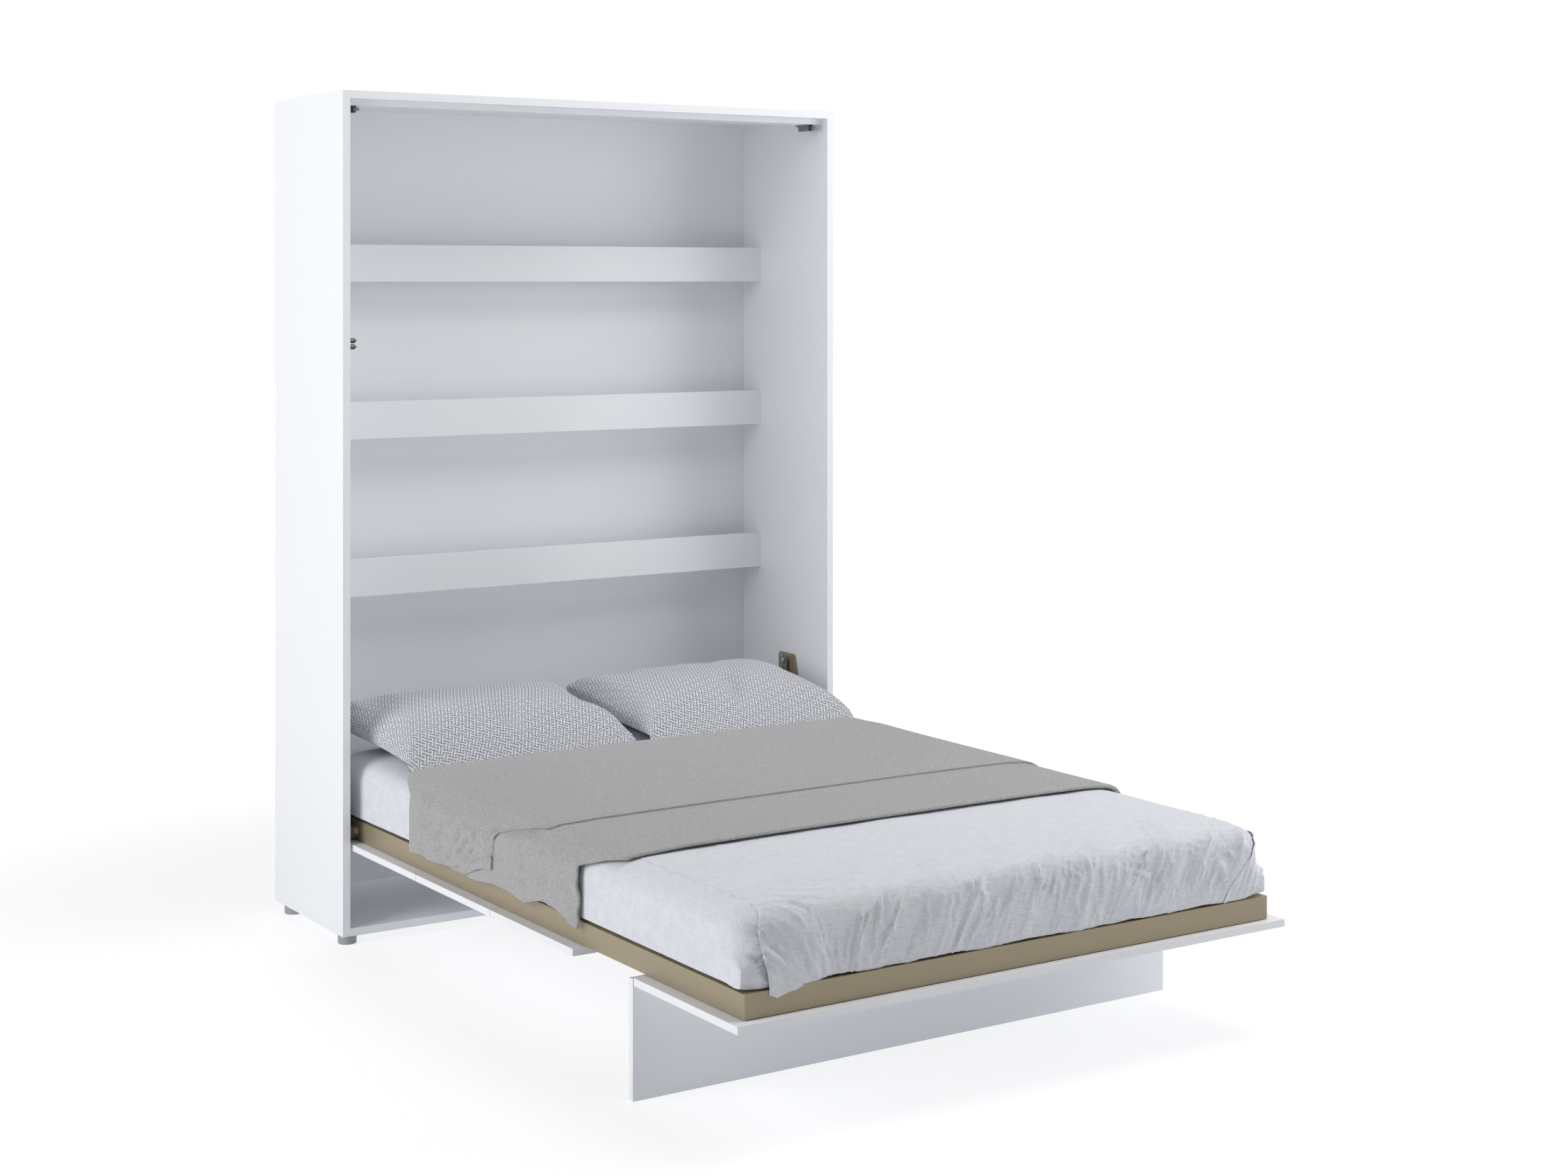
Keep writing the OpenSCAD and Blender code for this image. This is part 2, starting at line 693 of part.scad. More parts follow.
module board_screw_holes(x, high) {
    for (y = screw_rows) {
        z_rod([x, y, frame_z - 1], tube_wall + 2, board_screw_d + 2 * slip_fit);
        z_rod([x, y, high - tube_wall - 1], tube_wall + 2, 14);
    }
}

module side_rail(side) {
    color(champagne) placed() on_side(side) difference() {
        y_tube([frame_in_x, -frame_reach + corner_y, frame_z], [frame_x, side_rail_end, frame_top], tube_wall);
        x_rod([frame_in_x - 1, pivot_y, pivot_z], side_tube_w + 2, pivot_d + 2 * bush_wall + 2 * slip_fit);
        x_rod([frame_x - tube_wall - 1, spring_y, pivot_z], tube_wall + 2, spring_pin_d + 2 * slip_fit);
        board_screw_holes(frame_x - side_tube_w / 2, frame_top);
    }
}

module foot_rail() {
    color(champagne) placed()
        x_tube([-frame_x + corner_x, -frame_reach, frame_z],
            [frame_x - corner_x, foot_tube_in, frame_top], tube_wall);
}

module head_rail() {
    color(champagne) placed()
        x_tube([-frame_in_x, head_rail_y, frame_z], [frame_in_x, head_rail_end, frame_top], tube_wall);
}

// Corner pieces at the foot, with a spigot for each tube
module corner_cap(side) {
    play = 0.3;
    spigot = 30;
    low_x = frame_x - corner_x;
    side_end = -frame_reach + corner_y;
    color(champagne) placed() on_side(side) {
        translate([0, 0, frame_z]) linear_extrude(frame_h) polygon(rounded([
            [low_x, -frame_reach], [frame_x, -frame_reach], [frame_x, side_end], [low_x, side_end]],
            [0.3, 5, 0.3, 0.3]));
        block([frame_in_x + tube_wall + play, side_end - 1, frame_z + tube_wall + play],
            [frame_x - tube_wall - play, side_end + spigot, frame_top - tube_wall - play]);
        block([low_x - spigot, -frame_reach + tube_wall + play, frame_z + tube_wall + play],
            [low_x + 1, foot_tube_in - tube_wall - play, frame_top - tube_wall - play]);
    }
}

// Plugs in the head ends of the side tubes
module rail_end_plugs() {
    play = 0.3;
    color(black_plastic) placed() both_sides() {
        block([frame_in_x, side_rail_end, frame_z], [frame_x, side_rail_end + 3, frame_top]);
        block([frame_in_x + tube_wall + play, side_rail_end - 14, frame_z + tube_wall + play],
            [frame_x - tube_wall - play, side_rail_end + 1, frame_top - tube_wall - play]);
    }
}

module centre_beam() {
    color(champagne) placed() difference() {
        y_tube([-beam_w / 2, foot_tube_in, frame_z], [beam_w / 2, head_rail_y, frame_z + beam_h], tube_wall);
        board_screw_holes(0, frame_z + beam_h);
    }
}

// Cross bars over the leg, between the beam and the side tubes
module cross_bars() {
    color(champagne) placed() both_sides()
        x_tube([beam_w / 2, leg_axis_y - bar_w / 2, bar_z], [frame_in_x, leg_axis_y + bar_w / 2, bar_z + bar_h],
            tube_wall);
}

// Bent bar behind the mattress at the head, welded to the head tube
module mattress_hoop() {
    r = 30;
    x = hoop_w / 2 - hoop_d / 2;
    top = frame_top + hoop_h - hoop_d / 2;
    color(champagne) placed() translate([0, head_depth + 11, 0]) {
        both_sides() {
            z_rod([x, 0, frame_top], top - r - frame_top, hoop_d);
            translate([x - r, 0, top - r]) rotate([90, 0, 0])
                rotate_extrude(angle = 90) translate([r, 0]) circle(d = hoop_d);
        }
        x_rod([-x + r, 0, top], 2 * (x - r), hoop_d);
    }
}

// A slat is an arc of plywood. Its radius follows from its length and its bow.
slat_l = slat_out_x - slat_in_x;
slat_mid_x = (slat_out_x + slat_in_x) / 2;
slat_r = (pow(slat_l / 2, 2) + pow(slat_bow, 2)) / (2 * slat_bow);
slat_end_z = slat_crown_z - slat_bow - slat_t;

function slat_arc(r, steps, back) =
    [for (i = [0:steps])
        let (a = (back ? -1 : 1) * asin(slat_l / 2 / slat_r) * (2 * i / steps - 1))
        [slat_mid_x + r * sin(a), slat_crown_z - slat_r + r * cos(a)]];

module slats(side) {
    steps = 12;
    color(birch) placed() on_side(side) for (i = [0:slat_count - 1])
        xz_bar(slat_first_y + i * slat_pitch + (holder_w - slat_w) / 2, slat_w)
            polygon(concat(slat_arc(slat_r, steps, false), slat_arc(slat_r - slat_t, steps, true)));
}

// Height that a slat's end needs inside its holder
slat_tilt_rise = 2 * slat_bow * 2 * holder_l / slat_l;
holder_low = slat_end_z - 1.2 - holder_wall;
holder_high = slat_end_z + slat_t + slat_tilt_rise + 0.6 + holder_wall;

module slat_pocket(low_x, high_x, y) {
    block([low_x, y + 3.5, holder_low + holder_wall], [high_x, y + holder_w - 3.5, holder_high - holder_wall]);
}

module side_slat_holders() {
    color(black_plastic) placed() both_sides() for (i = [0:slat_count - 1])
        let (y = slat_first_y + i * slat_pitch) difference() {
            block([frame_in_x - holder_l, y, holder_low], [frame_in_x, y + holder_w, holder_high]);
            slat_pocket(frame_in_x - holder_l - 1, frame_in_x - 3, y);
        }
}

// Double holders that straddle the beam
module centre_slat_holders() {
    reach = beam_w / 2 + holder_l;
    color(black_plastic) placed() for (i = [0:slat_count - 1])
        let (y = slat_first_y + i * slat_pitch) difference() {
            block([-reach, y, holder_low], [reach, y + holder_w, holder_high]);
            block([-beam_w / 2, y - 1, holder_low - 1], [beam_w / 2, y + holder_w + 1, frame_z + beam_h]);
            both_sides() slat_pocket(beam_w / 2 + 3, reach + 1, y);
        }
}

// Studs on the side tubes, beside the lower eyes of the gas springs
module spring_studs_lower() {
    tip = spring_x - spring_eye_w / 2 - end_gap;
    color(steel) placed() both_sides() {
        x_rod([frame_x, spring_y, pivot_z], tip - frame_x, 14);
        x_rod([frame_x - tube_wall - 3, spring_y, pivot_z], tube_wall + 4, spring_pin_d);
    }
}

// Front boards, leg and their fasteners

module front_board(n) {
    span = board_spans[n - 1];
    color(white) placed() difference() {
        block([-front_x, span[1], front_z], [front_x, span[0], front_top]);
        for (x = screw_xs, y = screw_rows)
            z_rod([x, y, front_top - 12.5], 14, board_screw_d + 2 * slip_fit);
    }
}

module board_washers() {
    color(black_plastic) placed() for (x = screw_xs, y = screw_rows) difference() {
        z_rod([x, y, front_top], washer_t, board_washer_d);
        z_rod([x, y, front_top - 1], washer_t + 2, board_screw_d + 2 * slip_fit);
    }
}

module board_screws() {
    head = frame_z + tube_wall;
    color(steel) placed() for (x = screw_xs, y = screw_rows) {
        z_rod([x, y, front_top - 12], head - front_top + 13, board_screw_d);
        z_rod([x, y, head], 3, 10);
    }
}

module leg_panel() {
    front = leg_axis_y - front_t / 2;
    back = leg_axis_y + front_t / 2;
    color(white) placed() difference() {
        block([-front_x, front, 0], [front_x, back, leg_axis_z + leg_lip]);
        for (x = hinge_x) {
            block([x - hinge_notch_w / 2, front - 1, hinge_notch_z],
                [x + hinge_notch_w / 2, back + 1, leg_axis_z + leg_lip + 1]);
            block([x - hinge_notch_w / 2, back - hinge_leaf_t, hinge_notch_z - hinge_leaf_l],
                [x + hinge_notch_w / 2, back + 1, hinge_notch_z + 1]);
            for (dx = [-16, 16], dz = [14, 34])
                y_rod([x + dx, back - hinge_leaf_t - 9, hinge_notch_z - dz], 12, 3.4);
        }
    }
}

// Leaves let into the inner face of the leg, with two knuckles in the notch
module leg_hinge_leaves() {
    back = leg_axis_y + front_t / 2;
    knuckle_l = (hinge_w - hinge_tab_w) / 2 - 0.4;
    color(steel) placed() for (x = hinge_x) difference() {
        union() {
            block([x - hinge_w / 2, back - hinge_leaf_t, hinge_notch_z - hinge_leaf_l + 1],
                [x + hinge_w / 2, back, hinge_notch_z]);
            for (low = [x - hinge_w / 2, x + hinge_w / 2 - knuckle_l]) {
                x_rod([low, leg_axis_y, leg_axis_z], knuckle_l, hinge_knuckle_d);
                block([low, leg_axis_y + 2, hinge_notch_z], [low + knuckle_l, back, leg_axis_z - 1]);
                block([low, back - hinge_leaf_t, hinge_notch_z - 1], [low + knuckle_l, back, hinge_notch_z + 1]);
            }
        }
        x_rod([x - hinge_w, leg_axis_y, leg_axis_z], hinge_w * 2, hinge_pin_d + 0.04);
        for (dx = [-16, 16], dz = [14, 34])
            y_rod([x + dx, back - 5, hinge_notch_z - dz], 10, 4.2);
    }
}

module leg_hinge_pins() {
    color(chrome) placed() for (x = hinge_x)
        x_rod([x - hinge_w / 2, leg_axis_y, leg_axis_z], hinge_w, hinge_pin_d);
}

// Tabs under the cross bars, each with the middle knuckle of a hinge
module leg_hinge_tabs() {
    plate_z = leg_axis_z + 12;
    color(steel) placed() for (x = hinge_x) difference() {
        union() {
            x_rod([x - hinge_tab_w / 2, leg_axis_y, leg_axis_z], hinge_tab_w, hinge_knuckle_d);
            block([x - hinge_tab_w / 2, leg_axis_y - hinge_knuckle_d / 2, leg_axis_z],
                [x + hinge_tab_w / 2, leg_axis_y + hinge_knuckle_d / 2, plate_z + 1]);
            block([x - 26, leg_axis_y - bar_w / 2, plate_z], [x + 26, leg_axis_y + bar_w / 2, bar_z]);
        }
        x_rod([x - hinge_w, leg_axis_y, leg_axis_z], hinge_w * 2, hinge_pin_d + 2 * run_fit);
        for (dx = [-18, 18])
            z_rod([x + dx, leg_axis_y, plate_z - 1], bar_z - plate_z + 2, 5);
    }
}

// Gas springs, retracted while the bed is open

module gas_cylinder(side) {
    r = spring_d / 2;
    color(dark_grey) placed() on_side(side) difference() {
        union() {
            x_rod([spring_x - spring_eye_w / 2, spring_y, spring_top_z], spring_eye_w, spring_d);
            intersection() {
                block([spring_x - spring_eye_w / 2, spring_y - r, spring_top_z - 16],
                    [spring_x + spring_eye_w / 2, spring_y + r, spring_top_z]);
                z_rod([spring_x, spring_y, spring_top_z - 16], 20, spring_d);
            }
            translate([spring_x, spring_y, 0]) rotate_extrude() polygon([
                [0, spring_body_z], [r - 1.5, spring_body_z], [r, spring_body_z + 1.5],
                [r, spring_top_z - 15], [r - 2, spring_top_z - 12], [0, spring_top_z - 12]
            ]);
        }
        x_rod([spring_x - spring_eye_w, spring_y, spring_top_z], spring_eye_w * 2, spring_pin_d + 2 * run_fit);
        z_rod([spring_x, spring_y, spring_body_z - 1], spring_rod_in + 6, spring_rod_d + 2 * run_fit);
    }
}

// Rod with its lower eye and the short bolt in that eye
module gas_rod(side) {
    eye_d = 17;
    color(chrome) placed() on_side(side) {
        x_rod([spring_x - spring_eye_w / 2, spring_y, pivot_z], spring_eye_w, eye_d);
        x_rod([spring_x + spring_eye_w / 2 - 1, spring_y, pivot_z], 4, 11);
        z_rod([spring_x, spring_y, pivot_z + 4], 17, 11);
        z_rod([spring_x, spring_y, pivot_z + 10], spring_body_z - pivot_z - 10 + spring_rod_in, spring_rod_d);
    }
}

// Soft parts

function signed_pow(v, p) = sign(v) * pow(abs(v), p);

// A closed solid between an upper and a lower grid of points with the same rim
function grid_faces(rows, cols) =
    let (half = rows * cols)
    concat(
        [for (i = [0:rows - 2], j = [0:cols - 2], f = [
            [i * cols + j, (i + 1) * cols + j, (i + 1) * cols + j + 1],
            [i * cols + j, (i + 1) * cols + j + 1, i * cols + j + 1],
            [half + i * cols + j, half + (i + 1) * cols + j + 1, half + (i + 1) * cols + j],
            [half + i * cols + j, half + i * cols + j + 1, half + (i + 1) * cols + j + 1]]) f],
        [for (i = [0:rows - 2], f = [
            [i * cols, half + (i + 1) * cols, (i + 1) * cols],
            [i * cols, half + i * cols, half + (i + 1) * cols],
            [i * cols + cols - 1, (i + 1) * cols + cols - 1, half + (i + 1) * cols + cols - 1],
            [i * cols + cols - 1, half + (i + 1) * cols + cols - 1, half + i * cols + cols - 1]]) f],
        [for (j = [0:cols - 2], f = [
            [j, j + 1, half + j + 1], [j, half + j + 1, half + j],
            [(rows - 1) * cols + j, half + (rows - 1) * cols + j + 1, (rows - 1) * cols + j + 1],
            [(rows - 1) * cols + j, half + (rows - 1) * cols + j, half + (rows - 1) * cols + j + 1]]) f]);

// The mattress is a rounded block. A power sets how square it is across, upwards and along:
// the higher the power, the tighter the rounding of that edge.
mattress_x = mattress_w / 2 + mattress_bulge;
mattress_crown = 4;
mattress_mid_z = mattress_z + (mattress_h - mattress_crown) / 2;
mattress_top = mattress_z + mattress_h;
mattress_mid_y = head_depth - mattress_l / 2;
mattress_waist = 4;
power_across = 24;
power_up = 3.2;
power_along = 34;

// A point of the section at an angle, scaled by [across, up] and moved outwards
function section_point(a, y, across = 1, up = 1, out = 0) =
    let (x = (mattress_x + out) * across * signed_pow(cos(a), 2 / power_across))
    let (z = ((mattress_h - mattress_crown) / 2 + out) * up * signed_pow(sin(a), 2 / power_up))
    [x, y, mattress_mid_z + z + (z > 0 ? mattress_crown * up * (1 - pow(x / (mattress_x + out), 2)) : 0)];

module mattress() {
    around = 36;
    half_ring = [0.9998, 0.998, 0.9916, 0.98, 0.96, 0.93, 0.88, 0.6, 0.3];
    ring_at = concat(-half_ring, [0], [for (i = [8:-1:0]) half_ring[i]]);
    rings = [for (f = ring_at) let (c = sqrt(1 - pow(abs(f), power_along)))
        let (across = pow(c, 2 / power_across) - mattress_waist / mattress_x * (1 - f * f))
        [for (k = [0:around - 1])
            section_point(360 * k / around, mattress_mid_y + f * mattress_l / 2, across, pow(c, 2 / power_up))]];
    ends = [for (side = [-1, 1]) [0, mattress_mid_y + side * mattress_l / 2, mattress_mid_z]];
    points = concat([for (ring = rings, p = ring) p], ends);
    last = (len(ring_at) - 1) * around;
    faces = concat(
        [for (i = [0:len(ring_at) - 2], k = [0:around - 1], f = [
            [i * around + k, (i + 1) * around + k, (i + 1) * around + (k + 1) % around],
            [i * around + k, (i + 1) * around + (k + 1) % around, i * around + (k + 1) % around]]) f],
        [for (k = [0:around - 1]) [len(points) - 2, k, (k + 1) % around]],
        [for (k = [0:around - 1]) [len(points) - 1, last + (k + 1) % around, last + k]]);
    color(linen) placed() polyhedron(points, faces);
}

// A pillow: u and v run across and along it from -1 to 1. Its seam is drawn in between the
// corners, its upper side is crowned towards the back and a soft crease runs over it.
pillow_gap = 16;
pillow_w = mattress_w / 2 - pillow_margin - pillow_gap / 2;
pillow_shift = -9;
pillow_front = -262;
pillow_z = mattress_top + soft_gap;
pillow_seam = 20;
pillow_lift = 44;
pillow_crease = 9;

function pillow_dome(u, v) = pow((1 - pow(abs(u), 2.6)) * (1 - pow(abs(v), 2.6)), 0.55);
function pillow_top(u, v) =
    pillow_seam * (1 - 0.06 * pow(abs(u * v), 3)) + pillow_lift * (v + 1) / 2 * (1 - pow(abs(u), 4))
    + (pillow_h - pillow_seam - pillow_lift * 0.62) * pillow_dome(u, v) * (1 + 0.1 * v)
    - pillow_crease * exp(-pow((u - 0.12 - 0.18 * v) * 7, 2)) * pillow_dome(u, v);
function pillow_under(u, v) =
    (pillow_top(u, v) - 0.8) * (1 - pow(pillow_dome(u, v), 0.3) * (1 - 0.35 * max(0, -v - 0.55) / 0.45));

module pillow(side) {
    n = 22;
    us = [for (i = [0:n]) sin(-90 + 180 * i / n)];
    mid_x = side * (pillow_gap + pillow_w) / 2 + pillow_shift;
    mid_y = pillow_front + pillow_l / 2;
    function place(u, v, z) = [
        mid_x + u * pillow_w / 2 * (1 - 0.045 * (1 - v * v)),
        mid_y + v * pillow_l / 2 * (1 - 0.05 * (1 - u * u)), pillow_z + z];
    upper = [for (u = us, v = us) place(u, v, pillow_top(u, v))];
    lower = [for (u = us, v = us) place(u, v, pillow_under(u, v))];
    color(cotton_print) placed() polyhedron(concat(upper, lower), grid_faces(n + 1, n + 1));
}

// The blanket lies over the mattress, hangs down its left side in soft folds and reaches a
// little over its right edge. Its back edge lies under the pillows.
blanket_drop_steps = 7;
blanket_angles = [for (a = [180:-10:10]) a];
blanket_cols = blanket_drop_steps + len(blanket_angles);
blanket_back = 86;
blanket_side_in = 140;

function clamp(v) = min(1, max(0, v));
function blanket_angle(c) = blanket_angles[max(0, c - blanket_drop_steps)];
function blanket_y(t, c) =
    let (a = blanket_angle(c))
    let (head = -blanket_start + blanket_back * min(clamp((160 - a) / 40), clamp((a - 20) / 40)))
    let (foot = -blanket_start - blanket_l + blanket_side_in * clamp((a - 120) / 40))
    head + (foot - head) * t;
function blanket_hem(t) = frame_top - 6 + 15 * sin(t * 900 + 60) * (1 - t) - 3 * sin(t * 400);
function blanket_fold(t, depth) = depth * min(1, t * 6) * (4 + 4 * sin(t * 1500 + 40 * depth));

function blanket_point(t, c, out) =
    let (y = blanket_y(t, c))
    c < blanket_drop_steps
    ? let (s = c / blanket_drop_steps, low = blanket_hem(t))
        [-(mattress_x + out + blanket_fold(t, 1 - s)), y, low + (mattress_mid_z - low) * s]
    : section_point(blanket_angle(c), y, out = out);

module blanket() {
    fold_t = blanket_fold_l / blanket_l;
    ts = concat([for (i = [0:9]) (fold_t - 0.001) * i / 9],
        [for (i = [0:6]) fold_t + 0.004 + (1 - fold_t - 0.004) * i / 6]);
    cols = [0:blanket_cols - 1];
    upper = [for (t = ts, c = cols)
        blanket_point(t, c, soft_gap + blanket_t + (t < fold_t ? blanket_upper_t : 0))];
    lower = [for (t = ts, c = cols) blanket_point(t, c, soft_gap)];
    color(wool) placed() polyhedron(concat(upper, lower), grid_faces(len(ts), blanket_cols));
}

side_panel(-1);  // side_panel_left
side_panel(1);  // side_panel_right
top_panel();
bottom_panel();
back_panel();
top_rail();
back_rail(1);  // back_rail_1
back_rail(2);  // back_rail_2
back_rail(3);  // back_rail_3
back_rail(4);  // back_rail_4
dowels();
rail_caps();
wall_brackets();
cabinet_feet();
damper_housings();
stop_pins();
side_plate(-1);  // side_plate_left
side_plate(1);  // side_plate_right
wood_screws();
spring_pins_upper();
pivot_bolts();
pivot_nuts();
side_rail(-1);  // side_rail_left
side_rail(1);  // side_rail_right
foot_rail();
head_rail();
corner_cap(-1);  // corner_cap_left
corner_cap(1);  // corner_cap_right
rail_end_plugs();
centre_beam();
cross_bars();
mattress_hoop();
slats(-1);  // slats_left
slats(1);  // slats_right
side_slat_holders();
centre_slat_holders();
pivot_bushes();
spring_studs_lower();
front_board(1);  // front_board_1
front_board(2);  // front_board_2
front_board(3);  // front_board_3
front_board(4);  // front_board_4
board_washers();
board_screws();
leg_hinge_tabs();
mattress();
blanket();
pillow(-1);  // pillow_left
pillow(1);  // pillow_right
leg_panel();
leg_hinge_leaves();
leg_hinge_pins();
gas_cylinder(-1);  // gas_cylinder_left
gas_cylinder(1);  // gas_cylinder_right
gas_rod(-1);  // gas_rod_left
gas_rod(1);  // gas_rod_right
damper_plunger(-1);  // damper_plunger_left
damper_plunger(1);  // damper_plunger_right
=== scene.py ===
import math

import bmesh
import bpy
import numpy as np
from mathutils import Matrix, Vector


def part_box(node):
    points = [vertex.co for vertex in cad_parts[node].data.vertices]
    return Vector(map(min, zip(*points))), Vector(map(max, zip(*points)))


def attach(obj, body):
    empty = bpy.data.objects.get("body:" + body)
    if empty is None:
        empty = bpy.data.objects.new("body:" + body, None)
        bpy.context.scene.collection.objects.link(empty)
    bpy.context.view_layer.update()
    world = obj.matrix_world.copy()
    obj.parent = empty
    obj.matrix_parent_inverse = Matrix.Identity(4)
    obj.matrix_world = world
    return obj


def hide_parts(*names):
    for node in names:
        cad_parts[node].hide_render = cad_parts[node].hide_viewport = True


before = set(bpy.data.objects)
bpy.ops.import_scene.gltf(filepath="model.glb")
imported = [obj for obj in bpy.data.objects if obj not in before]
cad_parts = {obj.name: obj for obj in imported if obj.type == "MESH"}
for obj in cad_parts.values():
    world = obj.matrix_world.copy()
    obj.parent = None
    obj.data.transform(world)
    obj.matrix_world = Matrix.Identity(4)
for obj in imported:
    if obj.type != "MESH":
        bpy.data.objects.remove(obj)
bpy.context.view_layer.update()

# View

# The bed is seen from beyond its left foot corner at head height. The camera
# looks level, and the picture is shifted down as on an architect's camera.
view = bpy.data.cameras.new("view")
view.sensor_width = 36
view.lens = 56.617
view.shift_y = -0.19725
camera = bpy.data.objects.new("view", view)
camera.location = (-3.260, -5.1505, 1.695)
camera.rotation_euler = (math.pi / 2, 0, -math.radians(33.374))
bpy.context.collection.objects.link(camera)
bpy.context.scene.camera = camera
bpy.context.scene.view_settings.view_transform = "Standard"

# Studio

# A white sweep: a pale floor that takes the bed's shadow and runs out into
# the plain white behind it.


class Wire:
    """A value in a material. Sums, products and the like of wires add Math nodes."""

    def __init__(self, tree, socket=None):
        self.tree, self.socket = tree, socket

    def node(self, kind, settings=None, values=None, out=0):
        """Adds a node: its settings first, then each socket's value or link; gives one output."""
        made = self.tree.nodes.new(kind)
        for name, value in (settings or {}).items():
            setattr(made, name, value)
        for name, value in (values or {}).items():
            if isinstance(name, int):
                socket = made.inputs[name]
            else:
                socket = next(s for s in made.inputs if name in (s.identifier, s.name))
            if isinstance(value, Wire):
                self.tree.links.new(value.socket, socket)
            else:
                socket.default_value = value
        return Wire(self.tree, made.outputs[out] if len(made.outputs) else None)

    def maths(self, operation, *others):
        """A Math node of this operation on this wire and the others."""
        values = dict(enumerate((self, *others)))
        return self.node("ShaderNodeMath", {"operation": operation}, values)

    def __add__(self, other):
        return self.maths("ADD", other)

    def __sub__(self, other):
        return self.maths("SUBTRACT", other)

    def __mul__(self, other):
        return self.maths("MULTIPLY", other)

    def __truediv__(self, other):
        return self.maths("DIVIDE", other)

    def __mod__(self, other):
        return self.maths("FLOORED_MODULO", other)

    def __abs__(self):
        return self.maths("ABSOLUTE")

    def __rsub__(self, other):
        return self.node("ShaderNodeMath", {"operation": "SUBTRACT"}, {0: other, 1: self})

    __radd__ = __add__
    __rmul__ = __mul__

    def least(self, other):
        """The lesser of this wire and the other."""
        return self.maths("MINIMUM", other)

    def most(self, other):
        """The greater of this wire and the other."""
        return self.maths("MAXIMUM", other)

    def step(self, low, high):
        """0 below low, 1 above high, smooth between."""
        return self.node(
            "ShaderNodeMapRange",
            {"interpolation_type": "SMOOTHSTEP"},
            {"Value": self, "From Min": low, "From Max": high},
        )

    def noise(self, scale, detail=2.0, rough=0.5):
        """Cloudy noise from 0 to 1 at this place, with scale lumps to the metre."""
        return self.node(
            "ShaderNodeTexNoise",
            {},
            {"Vector": self, "Scale": scale, "Detail": detail, "Roughness": rough},
        )

    def stretched(self, size):
        """This place, stretched before a pattern reads it."""
        return self.node("ShaderNodeMapping", {}, {"Vector": self, "Scale": size})

    def between(self, first, second):
        """The mix of two colours, by this wire from 0 to 1."""
        return self.node(
            "ShaderNodeMix",
            {"data_type": "RGBA"},
            {"Factor_Float": self, "A_Color": first, "B_Color": second},
            2,
        )

    def relief(self, depth):
        """The surface normal over this height, with depth in metres."""
        return self.node("ShaderNodeBump", {}, {"Height": self, "Distance": depth, "Strength": 1.0})


def colour(red, green, blue):
    """A colour written as on a screen, 0 to 255, as the shader's linear one."""
    return tuple(((c / 255 + 0.055) / 1.055) ** 2.4 for c in (red, green, blue)) + (1.0,)


def new_finish(name):
    """A new material, with its first wire, which gives the place on the piece."""
    made = bpy.data.materials.new(name)
    made.use_nodes = True
    made.node_tree.nodes.clear()
    return made, Wire(made.node_tree).node("ShaderNodeTexCoord", out="Object")


def surface(place, values):
    """Ends a material in one Principled shader with these values."""
    shader = place.node("ShaderNodeBsdfPrincipled", {}, values)
    place.node("ShaderNodeOutputMaterial", {}, {"Surface": shader})


def mesh_piece(name, points, faces, finish):
    """A smooth piece of the scene from points in metres and faces of point numbers."""
    mesh = bpy.data.meshes.new(name)
    mesh.from_pydata(points, [], faces)
    mesh.polygons.foreach_set("use_smooth", np.ones(len(mesh.polygons), bool))
    mesh.materials.append(finish)
    made = bpy.data.objects.new(name, mesh)
    bpy.context.collection.objects.link(made)
    return made


def seen_rays(wire):
    """1 for a ray from the camera, or from a glossy or clear surface that shows the room, else 0."""
    seen = wire.node("ShaderNodeLightPath", out="Is Camera Ray")
    for kind in ("Is Glossy Ray", "Is Transmission Ray"):
        seen = seen.most(wire.node("ShaderNodeLightPath", out=kind))
    return seen


# The floor is a matt white that glows a little. Its glow grows with the distance from the
# bed, where it is seen, and has one low share where it only lights the bed.
white_light = (1.0, 1.0, 1.0, 1.0)
glow_strength, near_share, lighting_share = 1.2, 0.62, 0.25
near_reach, far_reach = 1.6, 4.2
floor_finish, place = new_finish("studio_floor")
ray = seen_rays(place)
reach = place.node("ShaderNodeVectorMath", {"operation": "LENGTH"}, {0: place}, "Value")
spread = near_share + (1 - near_share) * reach.step(near_reach, far_reach)
shown = (ray * spread).most(lighting_share)
matt = place.node("ShaderNodeBsdfDiffuse", {}, {"Color": colour(236, 237, 240)})
glow = place.node("ShaderNodeEmission", {}, {"Color": white_light, "Strength": glow_strength})
mixed = place.node("ShaderNodeMixShader", {}, {0: shown, 1: matt, 2: glow})
place.node("ShaderNodeOutputMaterial", {}, {"Surface": mixed})
floor_radius, floor_sides = 40, 96
turn = np.arange(floor_sides) * math.tau / floor_sides
rim = np.stack([np.cos(turn), np.sin(turn), 0 * turn], axis=1) * floor_radius
floor = mesh_piece("studio_floor", rim, [range(floor_sides)], floor_finish)

# The room is plain white where it is seen, and weaker where it lights the bed.
world = bpy.data.worlds.new("studio")
world.use_nodes = True
world.node_tree.nodes.clear()
sky = Wire(world.node_tree)
room_light = 0.16
strength = room_light + (1 - room_light) * seen_rays(sky)
back = sky.node("ShaderNodeBackground", {}, {"Color": white_light, "Strength": strength})
sky.node("ShaderNodeOutputWorld", {}, {"Surface": back})
bpy.context.scene.world = world


def lamp(name, place, target, size, power):
    """A square soft box of this size in metres and power in watts, turned to its target."""
    light = bpy.data.lights.new(name, "AREA")
    light.size, light.energy = size, power
    made = bpy.data.objects.new(name, light)
    made.location = place
    away = np.array(place) - np.array(target)
    made.rotation_euler = (
        math.atan2(math.hypot(away[0], away[1]), away[2]),
        0,
        math.atan2(away[1], away[0]) + math.pi / 2,
    )
    made.visible_camera = False
    bpy.context.collection.objects.link(made)


